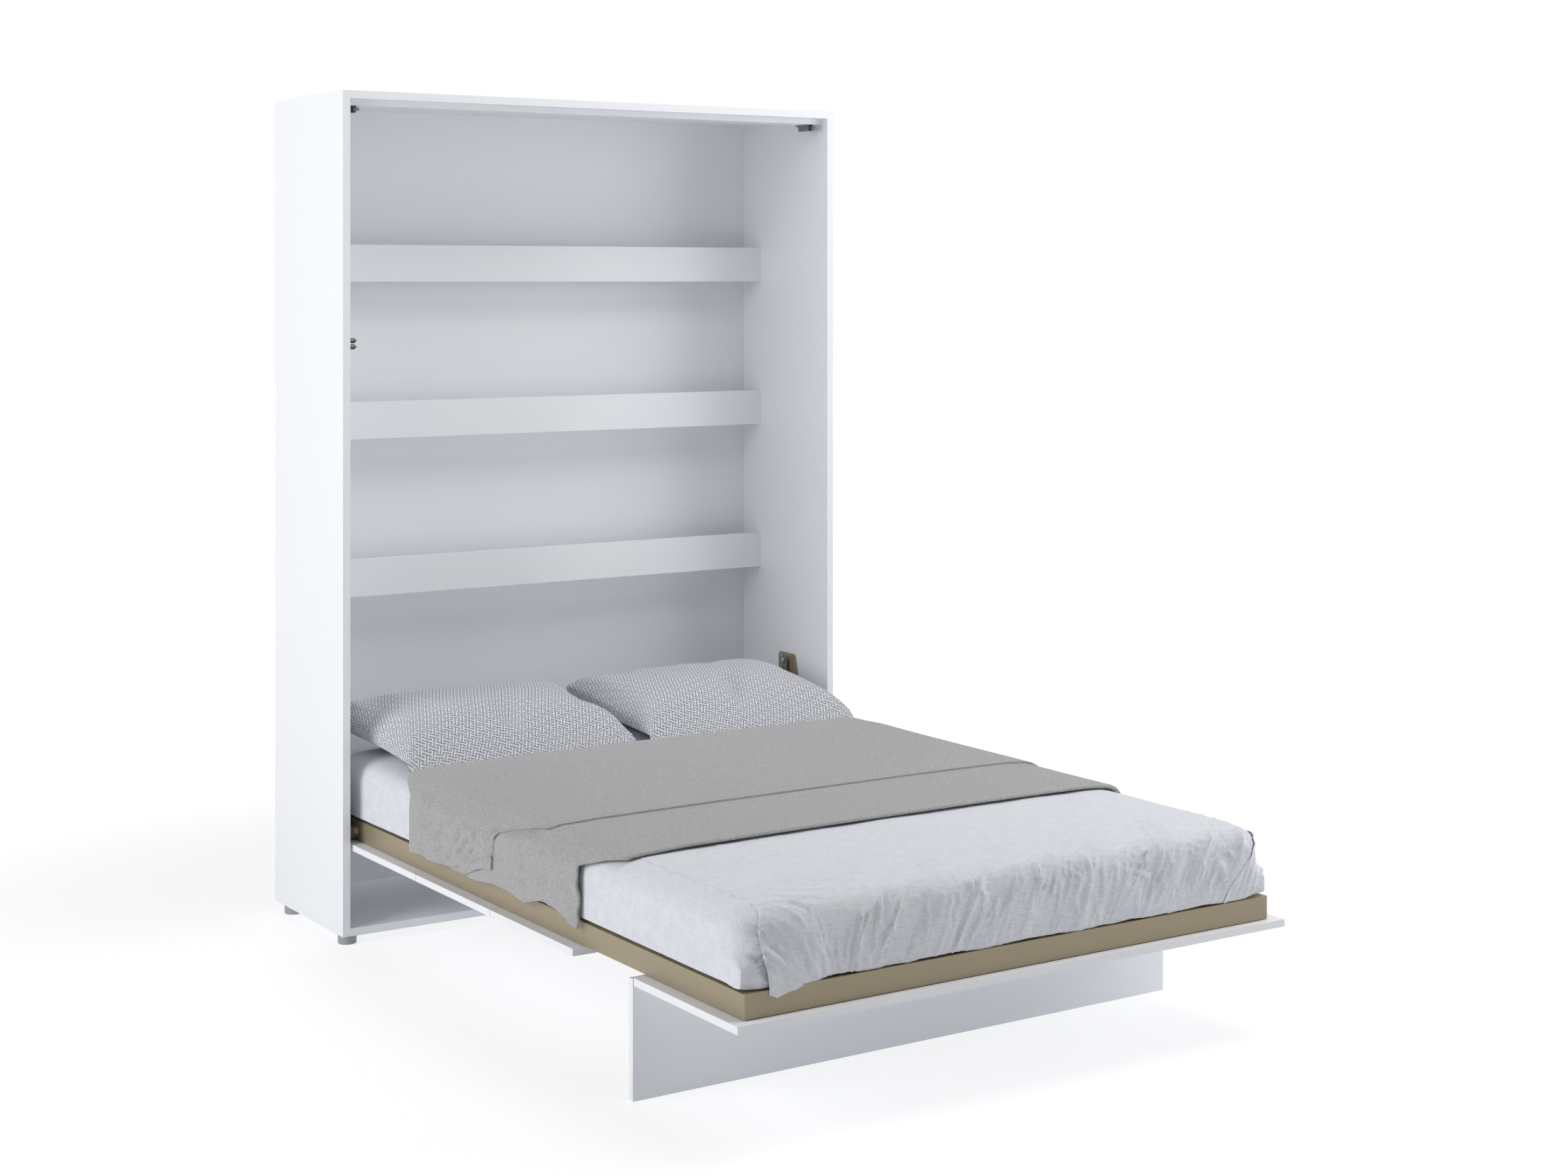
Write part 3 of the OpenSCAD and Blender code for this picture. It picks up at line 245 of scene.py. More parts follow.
lamp("left_box", (-5.5, 0.0, 2.6), (0, 0.4, 0.9), size=3.5, power=188)
lamp("right_box", (2.9, -2.1, 1.9), (0, -0.2, 0.9), size=2.4, power=43)
lamp("top_box", (1.6, -1.2, 4.6), (0.3, -0.3, 0.5), size=2.5, power=92)
lamp("back_box", (0.6, 6.0, 1.9), (0, 1.1, 1.1), size=3.0, power=62)

# Boards

# The cabinet, its rails, the bed's front and the leg are chipboard with a
# white melamine face and edges in the same white, faintly pearled.
board_white = colour(240, 242, 246)
board_finish, place = new_finish("white_melamine")
pearl = place.noise(900, 2, 0.6)
cloud = place.noise(3, 2)
surface(
    place,
    {
        "Base Color": cloud.between(board_white, colour(237, 239, 243)),
        "Roughness": 0.36 + 0.12 * pearl,
        "Normal": pearl.relief(0.00002),
    },
)
boards = ["side_panel_left", "side_panel_right", "top_panel", "bottom_panel", "back_panel"]
boards += ["top_rail", "leg_panel"]
boards += [f"{name}_{n}" for name in ("back_rail", "front_board") for n in (1, 2, 3, 4)]


def paint(finish, *nodes):
    """Gives solids of the frame a finish."""
    for node in nodes:
        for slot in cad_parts[node].material_slots:
            slot.material = finish


paint(board_finish, *boards)

# Steel frame

# Tubes, plates and the mattress hoop are steel with a champagne powder coat,
# which has a fine orange peel and a little metal flake.
frame_finish, place = new_finish("champagne_powder")
peel = place.noise(700, 1)
flake = place.noise(4000, 1).step(0.55, 0.75)
surface(
    place,
    {
        "Base Color": flake.between(colour(153, 141, 117), colour(170, 158, 134)),
        "Metallic": 0.30,
        "Roughness": 0.40 + 0.10 * flake,
        "Normal": peel.relief(0.00004),
    },
)
steel_parts = ["side_plate_left", "side_plate_right", "side_rail_left", "side_rail_right"]
steel_parts += ["foot_rail", "head_rail", "corner_cap_left", "corner_cap_right"]
steel_parts += ["centre_beam", "cross_bars", "mattress_hoop"]
paint(frame_finish, *steel_parts)


# Metal fittings

# Screws, nuts, hinges and brackets are zinc-plated steel with a blotchy
# passivated skin; pins, bolts and piston rods are bright and turned.
def metal(name, tone, dull, blotch, marks):
    """A bare metal: its tone, roughness, how blotchy it is, and the depth of its turning marks."""
    made, place = new_finish(name)
    cloud = place.noise(260, 3, 0.6)
    lines = place.stretched((1, 1, 12)).noise(500, 2)
    dark = tuple(c * (1 - blotch) for c in tone[:3]) + (1.0,)
    surface(
        place,
        {
            "Base Color": cloud.between(dark, tone),
            "Metallic": 1.0,
            "Roughness": dull + 0.18 * cloud,
            "Normal": lines.relief(marks),
        },
    )
    return made


zinc_finish = metal("zinc_plate", colour(186, 188, 190), 0.30, 0.22, 0.00002)
chrome_finish = metal("bright_steel", colour(214, 215, 217), 0.10, 0.06, 0.000005)
paint(zinc_finish, "wall_brackets", "wood_screws", "pivot_nuts", "spring_studs_lower")
paint(zinc_finish, "board_screws", "leg_hinge_tabs", "leg_hinge_leaves")
paint(chrome_finish, "spring_pins_upper", "pivot_bolts", "leg_hinge_pins")
paint(chrome_finish, "gas_rod_left", "gas_rod_right")
pin_finish = metal("burnished_steel", colour(96, 96, 98), 0.28, 0.20, 0.00001)
paint(pin_finish, "stop_pins")

# The gas springs' cylinders are steel tube with a satin grey lacquer.
spring_finish, place = new_finish("grey_lacquer")
mist = place.noise(1500, 2)
surface(
    place,
    {
        "Base Color": place.noise(40, 2).between(colour(112, 112, 114), colour(126, 126, 127)),
        "Metallic": 0.4,
        "Roughness": 0.32 + 0.14 * mist,
        "Normal": mist.relief(0.00001),
    },
)
paint(spring_finish, "gas_cylinder_left", "gas_cylinder_right")


# Plastic fittings

# Feet, caps, dampers, slat holders, washers and tube plugs are moulded, with
# a fine spark-eroded grain and slightly uneven gloss.
def plastic(name, tone, dull):
    """A moulded plastic of this tone and roughness."""
    made, place = new_finish(name)
    grain = place.noise(2600, 2, 0.6)
    flow = place.noise(60, 2)
    light = tuple(min(1.0, c * 1.12 + 0.004) for c in tone[:3]) + (1.0,)
    surface(
        place,
        {
            "Base Color": flow.between(tone, light),
            "Roughness": dull + 0.14 * grain,
            "Normal": grain.relief(0.00003),
        },
    )
    return made


paint(plastic("grey_plastic", colour(150, 152, 156), 0.38), "cabinet_feet")
tip_finish = plastic("tip_plastic", colour(118, 120, 123), 0.35)
paint(tip_finish, "damper_plunger_left", "damper_plunger_right")
paint(plastic("white_plastic", colour(236, 237, 238), 0.30), "rail_caps")
black_finish = plastic("black_plastic", colour(30, 30, 32), 0.42)
paint(black_finish, "rail_end_plugs", "side_slat_holders", "centre_slat_holders")
paint(black_finish, "pivot_bushes", "board_washers")

# The dampers' housings are grey, with a dark collar round the plunger.
housing_finish, place = new_finish("damper_plastic")
collar_length, collar_blur = 0.0062, 0.0003
collar_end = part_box("damper_housings")[0][1] + collar_length
depth = place.node("ShaderNodeSeparateXYZ", {}, {0: place}, "Y")
behind = depth.step(collar_end, collar_end + collar_blur)
grain = place.noise(2600, 2, 0.6)
grey = place.noise(60, 2).between(colour(108, 109, 113), colour(118, 119, 123))
surface(
    place,
    {
        "Base Color": behind.between(colour(46, 47, 51), grey),
        "Roughness": 0.34 + 0.14 * grain,
        "Normal": grain.relief(0.00003),
    },
)
paint(housing_finish, "damper_housings")

# Slats

# Sprung slats of birch veneers, glued with the grain along the slat, and
# beech dowels in the cabinet.
birch_finish, place = new_finish("birch")
along = place.stretched((3, 60, 60))
grain = along.noise(6, 4, 0.6)
pores = place.stretched((20, 400, 400)).noise(3, 2)
tone = grain.between(colour(206, 178, 136), colour(228, 206, 168))
surface(
    place,
    {
        "Base Color": pores.step(0.62, 0.8).between(tone, colour(176, 146, 104)),
        "Roughness": 0.46 + 0.16 * grain,
        "Normal": pores.relief(0.00006),
    },
)
paint(birch_finish, "slats_left", "slats_right", "dowels")

# Mattress

# A foam mattress in a knitted ticking with soft edges. Its height falls off
# so that (x/a)^24 + (y/b)^34 + (z/c)^3.2 is 1 over its outside, and its top
# is crowned by 4 mm. Its sides are drawn in by as much half way along.
low, high = (np.array(corner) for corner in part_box("mattress"))
crown, waist = 0.004, 0.004
half = (high - low) / 2 - (0, 0, crown / 2)
mid = (high + low) / 2 - (0, 0, crown / 2)
side_power, end_power, height_power = 24, 34, 3.2

# The weight on it squares its lower edges, up to these distances from its sides and ends.
side_fade, end_fade = (0.03, 0.14), (0.04, 0.16)

# Rings of points run evenly up to flat_end, and close together from end_start to the ends.
flat_end, end_start = 0.955, 0.957


def signed_power(value, power):
    """The size of the value to this power, with the value's own sign."""
    return np.sign(value) * np.abs(value) ** power


def smooth_step(value, low, high):
    """0 at low and 1 at high, in between 3t^2 - 2t^3 of the share t of the way."""
    t = np.clip((value - low) / (high - low), 0, 1)
    return t * t * (3 - 2 * t)


def evenly(start, *stretches):
    """Numbers from start through the stretches, each (its end, the step in it)."""
    parts = [np.array([start])]
    for end, step in stretches:
        count = max(1, round(abs(end - start) / step))
        parts.append(np.linspace(start, end, count + 1)[1:])
        start = end
    return np.concatenate(parts)


def run_along(first, second):
    """The length run at each point of a flat line with these two coordinates, from 0."""
    return np.concatenate([[0], np.cumsum(np.hypot(np.diff(first), np.diff(second)))])


def section_run(angles):
    """The length run round the mattress's section at these angles."""
    x = half[0] * signed_power(np.cos(angles), 2 / side_power)
    z = half[2] * signed_power(np.sin(angles), 2 / height_power)
    return run_along(x, z)


def section_angles(spacings):
    """Angles round the mattress's section whose points stand evenly apart.

    The section is run finely once, and the angles read off where its length reaches each
    wanted number; spacings gives (length share, step in metres)."""
    fine = np.linspace(0, math.tau, 40001)
    run = section_run(fine)
    wanted = evenly(0, *((share * run[-1], step) for share, step in spacings))[:-1]
    return np.interp(wanted, run, fine)


def mattress_skin(f, a, out):
    """The mattress's outside, at f from -1 foot to 1 head and angle a round the section.

    c is the share of the section left at f, the root of 1 - |f|^34; x is half the width
    times c^(2/24) cos^(2/24) a and z half the height times c^(2/3.2) sin^(2/3.2) a, with
    the crown added on top, and out added to each half size. The width is less by the waist
    times 1 - f^2. At the lower edges a point's inset from the face shrinks to nothing."""
    c = np.sqrt(np.clip(1 - np.abs(f) ** end_power, 0, 1))
    across = c ** (2 / side_power) - waist / half[0] * (1 - f**2)
    x = (half[0] + out) * across * signed_power(np.cos(a), 2 / side_power)
    z = (half[2] + out) * c ** (2 / height_power) * signed_power(np.sin(a), 2 / height_power)
    y = (half[1] + out) * f + 0 * a
    below = smooth_step(-z / half[2], 0, 0.5)
    inset = (half[0] + out) * across - np.abs(x)
    x = x + np.sign(x) * inset * below * (1 - smooth_step(inset, *side_fade))
    inset = half[1] + out - np.abs(y)
    y = y + np.sign(y) * inset * below * (1 - smooth_step(inset, *end_fade))
    z = z + np.where(z > 0, crown * (1 - (x / half[0]) ** 2) * c, 0)
    return np.stack([mid[0] + x, mid[1] + y, mid[2] + z], axis=-1)


def end_rings(step):
    """Places f near an end whose rings stand about a step apart down the end's face."""
    height = np.arange(step, half[2], step) / half[2]
    f = (1 - height[::-1] ** height_power) ** (1 / end_power)
    return f[f > end_start]


def ring_faces(rows, columns):
    """Faces of a grid of rows of points, each row closed into a ring."""
    row, column = np.meshgrid(np.arange(rows - 1), np.arange(columns), indexing="ij")
    left, right = row * columns + column, row * columns + (column + 1) % columns
    return np.stack([left, left + columns, right + columns, right], axis=-1).reshape(-1, 4)


def end_faces(rows, columns):
    """Faces that close the first and last ring, each from a point to its mirror image below."""
    j = np.arange(columns // 2)
    strip = np.stack([j, j + 1, columns - 1 - j, (columns - j) % columns], axis=-1).tolist()
    last = (rows - 1) * columns
    strip = [list(dict.fromkeys(face)) for face in strip]
    return strip + [[last + n for n in reversed(face)] for face in strip]


side_share = 0.028


def both_halves(side, face):
    """Section angles with these steps in metres at the sides and on the broad faces.

    The steps at a side are run over side_share of the section's length, and the lower
    half's angles mirror the upper half's."""
    upper = section_angles([(side_share, side), (0.5 - side_share, face), (0.5, side)])
    upper = upper[upper <= math.pi]
    return np.concatenate([upper, math.tau - upper[-2:0:-1]])


ticking_depth, core_step = 0.006, 0.012
ticking_angles = both_halves(core_step, 0.04)
head_rings = end_rings(core_step)
rings = np.concatenate([-head_rings[::-1], np.linspace(-flat_end, flat_end, 60), head_rings])
points = mattress_skin(rings[:, None], ticking_angles[None, :], -ticking_depth)
ticking_finish, place = new_finish("ticking")
knit = place.stretched((1, 1.4, 1.4)).noise(700, 1)
surface(
    place,
    {
        "Base Color": knit.between(colour(222, 222, 220), colour(236, 236, 234)),
        "Roughness": 0.9,
        "Normal": knit.relief(0.0003),
    },
)
rows, columns = points.shape[:2]
faces = ring_faces(rows, columns).tolist() + end_faces(rows, columns)
mattress = mesh_piece("mattress_core", points.reshape(-1, 3), faces, ticking_finish)
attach(mattress, "bed")
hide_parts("mattress")

# Bed sheet

# A light linen sheet, drawn tight over the mattress and tucked under it. It
# is smooth on top and full of short slanting creases down the foot end.
sheet_angles = both_halves(0.006, 0.008)
middle = evenly(-flat_end, (-0.82, 0.006), (-0.50, 0.012), (0.50, 0.045), (flat_end, 0.02))
sheet_rings = np.concatenate([-end_rings(0.005)[::-1], middle, end_rings(0.008)])
flat = mattress_skin(sheet_rings[:, None], sheet_angles[None, :], 0.0)


def waves(points, lengths, seed):
    """Smooth random relief of about -2 to 2: a sum of 14 sine waves with seeded directions
    and phases, of nearly the given wavelengths in metres along X, Y and Z."""
    count = 14
    dice = np.random.default_rng(seed)
    way = dice.normal(size=(count, 3))
    way *= dice.uniform(0.7, 1.3, (count, 1)) / np.linalg.norm(way, axis=1, keepdims=True)
    phase = dice.uniform(0, math.tau, count)
    turns = math.tau * (points / np.array(lengths)) @ way.T
    return np.sin(turns + phase).sum(axis=-1) / math.sqrt(count / 2)


def creases(points, lengths, seed, width):
    """Ridges along the lines where the waves cross zero: 1 - |waves| / width, at least 0,
    to the power 1.5."""
    return np.clip(1 - np.abs(waves(points, lengths, seed)) / width, 0, 1) ** 1.5


def outward(grid, wrap):
    """Unit normals of a grid of points, from the differences along its rows and columns."""
    along = np.gradient(grid, axis=0)
    across = np.roll(grid, -1, 1) - np.roll(grid, 1, 1) if wrap else np.gradient(grid, axis=1)
    normal = np.cross(along, across)
    return normal / np.maximum(np.linalg.norm(normal, axis=-1, keepdims=True), 1e-12)


foot_y = mid[1] - half[1]


def on_foot_face(flat):
    """1 on the foot face and 0 away from it, smooth between."""
    return smooth_step(flat[..., 1], foot_y + 0.06, foot_y + 0.015)


def foot_creases(flat):
    """How far the cloth stands off at these places: many short slanting creases down the
    foot face, softer ones on the top beside it, and a faint relief all over. The pattern
    is laid out by x and by the run, which goes up the face and on along the top, and it
    calms down towards the hem and the corners."""
    run = flat[..., 2] - mid[2] + flat[..., 1] - foot_y
    foot_face = on_foot_face(flat)
    near_foot = smooth_step(flat[..., 1], foot_y + 0.40, foot_y + 0.02)
    lean = 0.55 - 1.3 * smooth_step(flat[..., 0], -0.36, -0.62)
    spread = np.stack([flat[..., 0] - lean * run, 0 * run, run], axis=-1)
    patch = smooth_step(waves(spread, (0.20, 1, 0.26), 3), -1.0, 0.8)

    # Long folds down the face in patches, short ones between them, and a swell under both.
    lift = 0.0080 * foot_face * patch * creases(spread, (0.080, 1, 0.26), 11, 0.5)
    lift += 0.0050 * foot_face * creases(spread, (0.042, 1, 0.15), 12, 0.5)
    lift += 0.0030 * foot_face * waves(spread, (0.11, 1, 0.30), 13)

    # Shallow creases that run on along the top near the foot, and soft waves there.
    lift += 0.0046 * near_foot * patch * creases(spread, (0.055, 1, 0.12), 15, 0.45)
    lift += 0.0011 * near_foot * waves(spread, (0.07, 1, 0.10), 19)

    # Faint ripples over the whole sheet.
    ripples = smooth_step(waves(flat, (0.5, 0.5, 0.5), 17), 0, 1)
    lift += 0.0016 * ripples * creases(flat, (0.35, 0.05, 0.2), 16, 0.35)
    lift += 0.0007 * waves(flat, (0.16, 0.16, 0.12), 18)

    calm_start, calm_end = (mid[2] - share * half[2] for share in (0.70, 0.93))
    lift = lift * (1 - 0.7 * smooth_step(flat[..., 2], calm_start, calm_end))
    lift = lift * (1 - 0.85 * smooth_step(np.abs(flat[..., 0]), 0.655, 0.70))
    return np.maximum(lift, -0.002)


def over_the_rail(points, flat, level):
    """Lets the foot face belly out over the rail, and brings its hem down to the rail's top.

    How far it stands out, d, becomes m tanh(d/m), where m keeps it off the top rail when
    the bed is up."""
    foot_face = on_foot_face(flat)
    belly = 0.0060 * smooth_step(level, 0.6, -0.7) * smooth_step(np.abs(flat[..., 0]), 0.70, 0.60)
    drop = 0.0035 + 0.0020 * waves(flat, (0.10, 1, 1), 20).clip(-1, 0.5)
    out = foot_y - points[..., 1] + foot_face * belly
    most = 0.0132
    points[..., 1] = foot_y - np.where(out > 0, most * np.tanh(out / most), out)
    points[..., 2] -= foot_face * drop * smooth_step(level, -0.6, -0.93)


# The foot's own cloth is a flap between these edges. Level is 1 at the mattress's top and
# -1 at its underside. What lies under a flap is sunk, and all cloth starts a little inside
# the mattress's face, so that its creases stand out of it by less than the room over it.
flap_right = 0.664
sunk, cloth_inset, flap_thickness = 0.003, 0.0014, 0.0011


def flap_left(level):
    """The flap's left edge, which bows out by 14 mm between the top and the hem."""
    return -0.640 - 0.014 * smooth_step(level, 0.95, 0.5) + 0.014 * smooth_step(level, 0.2, -1)


def corner_fold(level):
    """The slanting edge of the right corner's cloth, which reaches further in towards the hem."""
    return 0.560 + 0.108 * smooth_step(level, -1.15, 0.75)


# The sheet is smooth and sunk where the foot's flap hides it.
level = (flat[..., 2] - mid[2]) / half[2]
hidden = smooth_step(flat[..., 0], flap_left(level) + 0.012, flap_left(level) + 0.03)
hidden = hidden * smooth_step(flat[..., 0], flap_right - 0.004, flap_right - 0.02)
hidden = hidden * smooth_step(flat[..., 1], foot_y + 0.52, foot_y + 0.50)
lift = foot_creases(flat) * (1 - hidden) - sunk * hidden
points = flat + outward(flat, True) * (lift - cloth_inset)[..., None]
over_the_rail(points, flat, level)

sheet_finish, place = new_finish("linen_sheet")
slub_x = place.stretched((1, 14, 14)).noise(32, 3, 0.65)
slub_y = place.stretched((14, 1, 1)).noise(32, 3, 0.65)
weave = slub_x * 0.68 + slub_y * 0.32
tone = weave.step(0.36, 0.64).between(colour(209, 213, 220), colour(228, 230, 235))
crumple = place.noise(38, 4, 0.6)
surface(
    place,
    {
        "Base Color": tone,
        "Roughness": 0.82,
        "Sheen Weight": 0.15,
        "Normal": (weave * 0.35 + crumple * 1.6).relief(0.0016),
    },
)

# The cloth ends where it has turned under the mattress.
turned_under = -0.6
rows, columns = points.shape[:2]
faces = ring_faces(rows, columns)
normal = outward(flat, True).reshape(-1, 3)[faces].mean(axis=1)
faces = faces[normal[:, 2] > turned_under].tolist() + end_faces(rows, columns)
bed_sheet = mesh_piece("bed_sheet", points.reshape(-1, 3), faces, sheet_finish)
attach(bed_sheet, "bed")

# The foot's cloth comes down over the cloth of the left corner, where it ends in an
# upright fold whose tip hangs over the rail. It goes on under the right corner's cloth.
# Both follow the mattress's middle line, from its top down the foot face to the hem. The
# line is drawn finely at first, by f along the mattress and by level.
hem_level, fine_step = -0.94, 0.0045
top_f = np.linspace(-0.48, -0.93, 400)
top_level = (1 - np.abs(top_f) ** end_power) ** (1 / height_power)
face_level = np.linspace(top_level[-1], hem_level, 3000)[1:]
face_f = -((1 - np.abs(face_level) ** height_power) ** (1 / end_power))
line_f = np.concatenate([top_f, face_f])
line_level = np.concatenate([top_level, face_level])
line_run = run_along(line_f * half[1], line_level * half[2])


def foot_skin(x, f, level):
    """The mattress's foot end at these x, where its middle line stands at f and level.

    At x, f and level shrink by (1 - |x/a|^24) to the powers 1/34 and 1/3.2, and the lower
    edge and the crown are mattress_skin's."""
    share = np.clip(1 - np.abs(x / half[0]) ** side_power, 0, 1)
    f = f * share ** (1 / end_power)
    z = half[2] * level * share ** (1 / height_power)
    inset = half[1] * (1 + f)
    squared = smooth_step(-level, 0, 0.5) * (1 - smooth_step(inset, *end_fade))
    c = np.sqrt(np.clip(1 - np.abs(f) ** end_power, 0, 1))
    z = z + np.where(z > 0, crown * (1 - (x / half[0]) ** 2) * c, 0)
    return np.stack([mid[0] + x, mid[1] + half[1] * f - inset * squared, mid[2] + z], axis=-1)


def open_faces(rows, columns):
    """Faces of an open grid of rows of points."""
    row, column = np.meshgrid(np.arange(rows - 1), np.arange(columns - 1), indexing="ij")
    left = row * columns + column
    return np.stack([left, left + columns, left + columns + 1, left + 1], axis=-1).reshape(-1, 4)


def cloth_flap(name, flat, level, lift, forward=0.0, down=0.0):
    """A hemmed flap of the sheet over these places of the mattress's skin: lifted off it,
    then moved forward and down by these lengths."""
    off = foot_creases(flat) - cloth_inset + lift
    points = flat + outward(flat, False) * off[..., None]
    points[..., 1] -= forward
    over_the_rail(points, flat, level + 0 * flat[..., 0])
    points[..., 2] -= down
    faces = open_faces(*points.shape[:2]).tolist()
    made = mesh_piece(name, points.reshape(-1, 3), faces, sheet_finish)
    hem = made.modifiers.new("hem", "SOLIDIFY")
    hem.thickness, hem.offset = flap_thickness, -1
    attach(made, "bed")
    return made


wanted = evenly(0, (0.36, 0.012), (0.44, 0.007), (line_run[-1], fine_step))
f, level = (np.interp(wanted, line_run, line)[:, None] for line in (line_f, line_level))
x = flap_left(level) + (flap_right - flap_left(level)) * np.linspace(0, 1, 281)[None, :]
flat = foot_skin(x, f, level)

# It stands 0.6 mm off at its top and right edges and 2.4 mm on the foot face. The upright
# fold grows towards the hem, and the tail beside it hangs forward and down.
from_left = x - flap_left(level)
lift = 0.0006 + 0.0018 * smooth_step(level, 0.97, 0.80) * smooth_step(flap_right - x, 0, 0.03)
upright_fold = 0.010 * np.exp(-((from_left - 0.010) / 0.022) ** 2)
lift = lift + smooth_step(level, 0.35, -0.8) * upright_fold
tail = smooth_step(from_left, 0.14, 0.02) * smooth_step(level, -0.40, hem_level)
tail_down = 0.017 * tail * smooth_step(from_left, -0.02, 0.03)
foot_flap = cloth_flap("sheet_foot_flap", flat, level, lift, 0.010 * tail, tail_down)

# The right corner's cloth is drawn round onto the foot face over it, to a slanting edge.
wrap_right, wrap_top = 0.697, 0.90
wrap_run = line_run[line_level < wrap_top][0]
wanted = evenly(0, (line_run[-1] - wrap_run, fine_step)) + wrap_run
f, level = (np.interp(wanted, line_run, line)[:, None] for line in (line_f, line_level))
x = corner_fold(level) + (wrap_right - corner_fold(level)) * np.linspace(0, 1, 33)[None, :]
flat = foot_skin(x, f, level)

# Its edge stands 5 mm off and the cloth behind it 3 mm. It sinks into the sheet at the top
# and at the side, where the sheet itself goes on.
from_edge = x - corner_fold(level)
lift = 0.0052 - 0.0022 * smooth_step(from_edge, 0.002, 0.016)
shown_part = smooth_step(level, wrap_top, 0.72) * smooth_step(x, wrap_right, 0.665)
lift = (lift + sunk) * shown_part - sunk
corner_wrap = cloth_flap("sheet_corner_wrap", flat, level, lift)

# Pillows

# Two stuffed pillows in cotton covers with a fret print. Each is crowned, drawn
# in along its seam, creased from its front seam and raised at its back edge.
pillow_w, pillow_l, pillow_h = 0.676, 0.490, 0.134
plan_power, dome_power = 2.6, 0.55
seam_rise, back_lift, corner_lift, crease_depth = 0.020, 0.046, 0.026, 0.034
side_draw, end_draw = 0.055, 0.07
soft_gap = 0.0004
pillow_floor = high[2] + soft_gap

# Places along the bed are measured from the cabinet's front.
cabinet_front = 0.6865
pillow_mid_y = cabinet_front - 0.017


def pillow_halves(mid_x, u, v):
    """The upper and under side of a pillow at u across and v along, each from -1 to 1.

    The dome is ((1 - |u|^2.6)(1 - |v|^2.6))^0.55. The seam rises to the back, most at the
    corners. The upper side is the seam's height plus the dome, less a crease; the under
    side falls from the seam by the dome's power 0.3 to lie on the bed. The plan narrows
    between its corners."""
    plan = (1 - np.abs(u) ** plan_power) * (1 - np.abs(v) ** plan_power)
    dome = np.clip(plan, 0, 1) ** dome_power
    back = ((v + 1) / 2) ** 1.3
    seam = seam_rise * (1 - 0.06 * np.abs(u * v) ** 3) + (back_lift + corner_lift * u**4) * back
    top = seam + (pillow_h - seam_rise - back_lift * 0.54) * dome * (1 + 0.05 * v)
    crease = np.exp(-(((u - 0.12 - 0.18 * v) * 9) ** 2)) * (1 - smooth_step(v, -0.6, 0.6))
    top = top - crease_depth * crease * dome
    front = np.clip((-v - 0.55) / 0.45, 0, None)
    under = top * (1 - dome**0.3 * (1 - 0.35 * front))
    x = mid_x + u * pillow_w / 2 * (1 - side_draw * (1 - v**2))
    y = pillow_mid_y + v * pillow_l / 2 * (1 - end_draw * (1 - u**2))
    upper = np.stack([x, y, pillow_floor + top], axis=-1)
    lower = np.stack([x, y, pillow_floor + under], axis=-1)
    return upper, lower


# The print is read from the cover's own lengths, in units of 1.8 mm, turned by its slant.
print_unit, print_slant = 0.0018, math.radians(25)
repeat_x, repeat_y, half_line = 20.0, 18.0, 0.85
cover_finish, place = new_finish("fret_cotton")
print_uv = place.node("ShaderNodeUVMap", {"uv_map": "print"})
across, along = (print_uv.node("ShaderNodeSeparateXYZ", {}, {0: print_uv}, axis) for axis in "XY")
cosine, sine = math.cos(print_slant), math.sin(print_slant)
across, along = across * cosine - along * sine, across * sine + along * cosine


def bar(distance, half_width):
    """1 within half_width of a line and 0 outside, over a soft edge 0.35 wide."""
    return ((half_width - distance) / 0.35 + 0.5).most(0.0).least(1.0)


def fret(x, y):
    """One figure of the print: a stem with a bar at each end whose ends hook back."""
    x, y = abs(x), abs(y)
    stem = bar(x, half_line) * bar(y, 7.0)
    cap = bar(abs(y - 7.0), half_line) * bar(x, 6.8)
    hook = bar(abs(x - 6.0), half_line) * bar(abs(y - 6.0), 1.7)
    return stem.most(cap).most(hook)


# The figures stand at the corners and in the middle of each repeat.
half_x, half_y = repeat_x / 2, repeat_y / 2
corners = fret((across + half_x) % repeat_x - half_x, (along + half_y) % repeat_y - half_y)
middles = fret(across % repeat_x - half_x, along % repeat_y - half_y)
figure = corners.most(middles)
thread = place.noise(1400, 2, 0.6)
ground = thread.between(colour(222, 223, 228), colour(235, 236, 240))
ink = thread.between(colour(130, 132, 143), colour(146, 148, 158))
surface(
    place,
    {
        "Base Color": figure.between(ground, ink),
        "Roughness": 0.85,
        "Normal": (thread + place.noise(60, 3) * 1.2).relief(0.0008),
    },
)


settling_frames, most_move = 20, 0.010


def plump(pillow):
    """Fills the cover under pressure as cloth cut a little too large, so that it buckles at its
    seam. No point moves further than most_move, or sinks into the bed."""
    count = len(pillow.data.vertices)
    start, filled, up = (np.empty(count * 3) for _ in range(3))
    pillow.data.vertices.foreach_get("co", start)
    pillow.data.vertices.foreach_get("normal", up)
    stuffing = pillow.modifiers.new("stuffing", "CLOTH")
    stuffing.settings.quality = 4
    stuffing.settings.mass = 0.25
    stuffing.settings.shrink_min = -0.035
    stuffing.settings.use_pressure = True
    stuffing.settings.uniform_pressure_force = 4
    stuffing.settings.effector_weights.gravity = 0
    for frame_number in range(1, settling_frames + 1):
        bpy.context.scene.frame_set(frame_number)
    shape = pillow.evaluated_get(bpy.context.evaluated_depsgraph_get()).data
    shape.vertices.foreach_get("co", filled)
    pillow.modifiers.remove(stuffing)
    bpy.context.scene.frame_set(1)
    start, filled, up = (values.reshape(-1, 3) for values in (start, filled, up))
    move = filled - start
    move *= np.minimum(1, most_move / np.maximum(np.linalg.norm(move, axis=1, keepdims=True), 1e-9))
    move[:, 2] = np.where(up[:, 2] < 0, np.maximum(move[:, 2], 0), move[:, 2])
    points = start + move
    pillow.data.vertices.foreach_set("co", points.ravel())


fold_y, fold_z, fold_reach = 0.7275, 0.281, 0.340
front_top, back_top, knee = 0.590, 0.6065, 0.005
rise_start, rise_end = 0.583, 0.63


